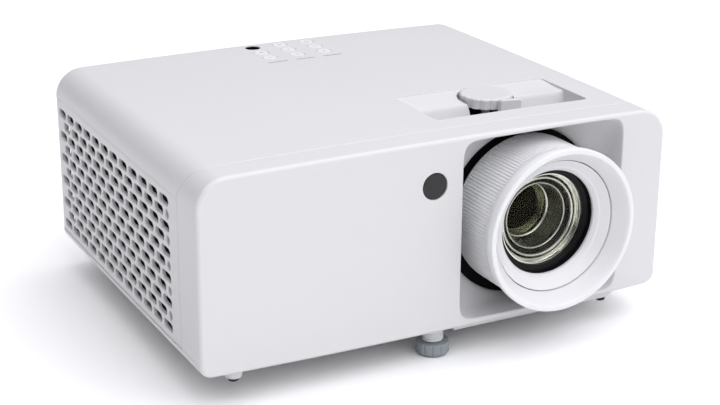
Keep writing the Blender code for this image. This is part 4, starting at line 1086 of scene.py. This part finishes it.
def makeKeys():
    radius, flange = keypad["radius"], keypad["radius"] + keypad["flange"]
    for name, place in keys.items():
        x, d = keyPlace(*place)
        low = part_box(name)[0].z / mm
        top = coverHeight(x, d)
        collar = min(low + 1.0, top - case["wall"] - keypad["gap"] - 0.5)
        profile = [(radius - 1.5, low), (radius - 1.2, low), (flange - 0.3, low), (flange, low + 0.2),
                   (flange, collar), (radius, collar + 0.05)]
        profile += [(radius - gone, top - inset) for inset, gone in quarter(0.35)[::-1]]
        profile += [(3.6, top - 0.06), (2.0, top - 0.12)]
        key = Maker().solid(profile, "Z", (x, faceY + d, 0), keypad["steps"])
        key.piece(name.replace("_button", "Key"), ringWhite, name, stands=[name])
        sign = Maker()
        for outline in signParts(name):
            points = [(x + a, faceY + d + b) for a, b in outline]
            block(sign, points, top - 0.16, top - 0.02, 0.02, alongZ, 1)
        sign.piece(name.replace("_button", "Sign"), inkGrey, name, slot="indicator_guide")


def makeIndicators():
    for name in bars:
        low, high = (p.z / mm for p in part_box(name))
        light = Maker()
        block(light, [(x, faceY + d) for x, d in barOutline(name, 0)], low, high - 0.05, 0.2, alongZ)
        light.piece(name.replace("_indicator", "Light"), guideGrey, "case", stands=[name],
                    slot="indicator_guide")


def makeWindows():
    low, high = (p.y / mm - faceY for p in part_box("front_ir_window"))
    r = window["radius"]
    profile = [(0.02, low), (r * 0.4, low + 0.02), (r * 0.8, low + 0.12)]
    profile += [(r - gone, low + 0.15 + inset) for inset, gone in quarter(0.5)] + [(r, high), (0.02, high)]
    pane = Maker().solid(profile, "Y", (window["x"], faceY, window["z"]), window["steps"])
    pane.piece("faceWindow", filterAcrylic, "case", stands=["front_ir_window"], slot="ir_window")
    low, high = (p.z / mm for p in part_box("top_ir_window"))
    x, d = keyPlace(*topWindow)
    r = keypad["radius"]
    profile = [(0.02, low), (r, low)]
    profile += [(r - gone, high - 0.1 - inset) for inset, gone in quarter(0.4)[::-1]]
    profile += [(r * 0.7, high - 0.03), (0.02, high)]
    pane = Maker().solid(profile, "Z", (x, faceY + d, 0), keypad["steps"])
    pane.piece("topWindow", filterAcrylic, "case", stands=["top_ir_window"], slot="ir_window")


makeKeys()
makeIndicators()
makeWindows()
print("keypad made")

# feet: threaded stem in the case, knob with finger notches, and two bumper pads
stem = {"radius": 7, "low": 9.3, "high": 43, "pitch": 2.0, "threadDepth": 0.35, "row": 0.25, "end": 0.6}
knob = {"radius": 11, "height": 9, "notches": 12, "notchDepth": 0.7, "sole": 0.86, "steps": 240}
pads = {"front_left_pad": -141, "front_right_pad": 133}


def makeFeet():
    def thread(turn, radius, along):
        # one turn of the knob moves the foot by one pitch
        return -stem["threadDepth"] * (0.5 + 0.5 * cos(2 * pi * along / stem["pitch"] - turn)) ** 2

    def notch(turn, radius, along):
        if radius < 8 or along < 1:
            return 0
        return -knob["notchDepth"] * max(cos(knob["notches"] * turn), 0) ** 3

    radius, low, high, row, end = (stem[name] for name in ("radius", "low", "high", "row", "end"))
    shaft = [(radius - end, low), (radius, low + end)]
    shaft += [(radius, low + end + row * i) for i in range(1, int((high - low - 2 * end) / row))]
    shaft += [(radius, high - end), (radius - end, high)]
    r, sole = knob["radius"], knob["radius"] * knob["sole"]
    grip = [(sole - 2.5, 0.0), (sole - 0.5, 0.0), (sole, 0.25), (sole + 0.6, 1.2), (r - 0.15, 2.0),
            (r, 2.6), (r, 5), (r, 7.6)]
    grip += [(r - gone, knob["height"] - inset) for inset, gone in quarter(0.6)[::-1]]
    grip.append((7.5, knob["height"]))
    for name, (x, d) in {"front_foot": (foot["x"], foot["depth"]), **rearFeet}.items():
        centre = (x, faceY + d, 0)
        screw = Maker().solid(shaft, "Z", centre, 48, thread)
        screw.piece(name + "Stem", caseWhite, name + "_screw", stands=[name + "_screw"])
        turner = Maker().solid(grip, "Z", centre, knob["steps"], notch)
        turner.piece(name + "Knob", footGrey, name + "_knob", stands=[name + "_knob"], slot="foot_grey")
    for name, x in pads.items():
        low, high = (p.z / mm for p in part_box(name))
        profile = [(1, low), (2.4, low + 0.1), (3.3, low + 0.7), (3.6, low + 1.5), (3.6, high)]
        pad = Maker().solid(profile, "Z", (x, faceY + bump["depth"], 0), 40)
        pad.piece(name.replace("_pad", "Bumper"), padRubber, "case", stands=[name], slot="pad_rubber")


makeFeet()
print("feet made")

# floor, light and camera
studio = {"floorSize": 14, "floorTint": "#FCFCFC",
          # the sky glows most towards skyTurn and fades to black near the horizon
          "skyLow": 0.0, "skyHigh": 2.25, "skyTurn": (0.22, -0.18, 0.96), "skyFade": 0.2,
          "boxPower": 4.2, "boxSize": 1.2, "boxPlace": (0.05, -1.2, 1.2)}
view = {"lens": 79.4, "azimuth": radians(-27.944), "elevation": radians(19.771), "roll": radians(0.305),
        "distance": 0.95937, "target": (-0.0614, -0.1235, 0.1181)}


def makeStudio():
    half = studio["floorSize"] / 2
    mesh = bpy.data.meshes.new("floor")
    corners = [(-half, -half, 0), (half, -half, 0), (half, half, 0), (-half, half, 0)]
    mesh.from_pydata(corners, [], [(0, 1, 2, 3)])
    floor = bpy.data.objects.new("floor", mesh)
    bpy.context.scene.collection.objects.link(floor)
    material, tree, shader, place = newSurface("pale studio floor", Roughness=0.9)
    fleck = addNode(tree, "ShaderNodeTexNoise", {"Vector": place, "Scale": 3.0})
    tint = studio["floorTint"]
    mixTwo(tree, shader, fleck.outputs["Fac"], toLinear(tint, 0.99), toLinear(tint))
    mesh.materials.append(material)

    world = bpy.data.worlds.new("studio")
    world.use_nodes = True
    bpy.context.scene.world = world
    tree = world.node_tree
    ray = addNode(tree, "ShaderNodeTexCoord").outputs["Generated"]
    facing = addNode(tree, "ShaderNodeVectorMath", {0: ray, 1: Vector(studio["skyTurn"]).normalized()},
                     operation="DOT_PRODUCT")
    glow = addNode(tree, "ShaderNodeMapRange", {
        "Value": facing.outputs["Value"], "From Min": studio["skyFade"], "From Max": 1.0,
        "To Min": studio["skyLow"], "To Max": studio["skyHigh"]})
    tree.links.new(glow.outputs["Result"], tree.nodes["Background"].inputs["Strength"])
    tree.nodes["Background"].inputs["Color"].default_value = toLinear("#FBFBFF")

    light = bpy.data.lights.new("softbox", "AREA")
    light.energy, light.size = studio["boxPower"], studio["boxSize"]
    lamp = bpy.data.objects.new("softbox", light)
    lamp.location = studio["boxPlace"]
    aim = Vector((0, 0, 0.1)) - Vector(studio["boxPlace"])
    lamp.rotation_euler = aim.to_track_quat("-Z", "Y").to_euler()
    bpy.context.scene.collection.objects.link(lamp)

    bpy.context.scene.view_settings.view_transform = "Standard"
    a, e, roll = view["azimuth"], view["elevation"], view["roll"]
    back = Vector((sin(a) * cos(e), -cos(a) * cos(e), sin(e)))
    right = Vector((cos(a), sin(a), 0))
    up = back.cross(right)
    tiltedRight, tiltedUp = right * cos(roll) + up * sin(roll), up * cos(roll) - right * sin(roll)
    camera = bpy.data.objects.new("camera", bpy.data.cameras.new("camera"))
    camera.data.lens, camera.data.sensor_width = view["lens"], 36
    camera.data.clip_start = 0.05
    turn = Matrix((tiltedRight, tiltedUp, back)).transposed().to_4x4()
    camera.matrix_world = Matrix.Translation(Vector(view["target"]) + back * view["distance"]) @ turn
    bpy.context.scene.collection.objects.link(camera)
    bpy.context.scene.camera = camera


makeStudio()
print("studio ready")
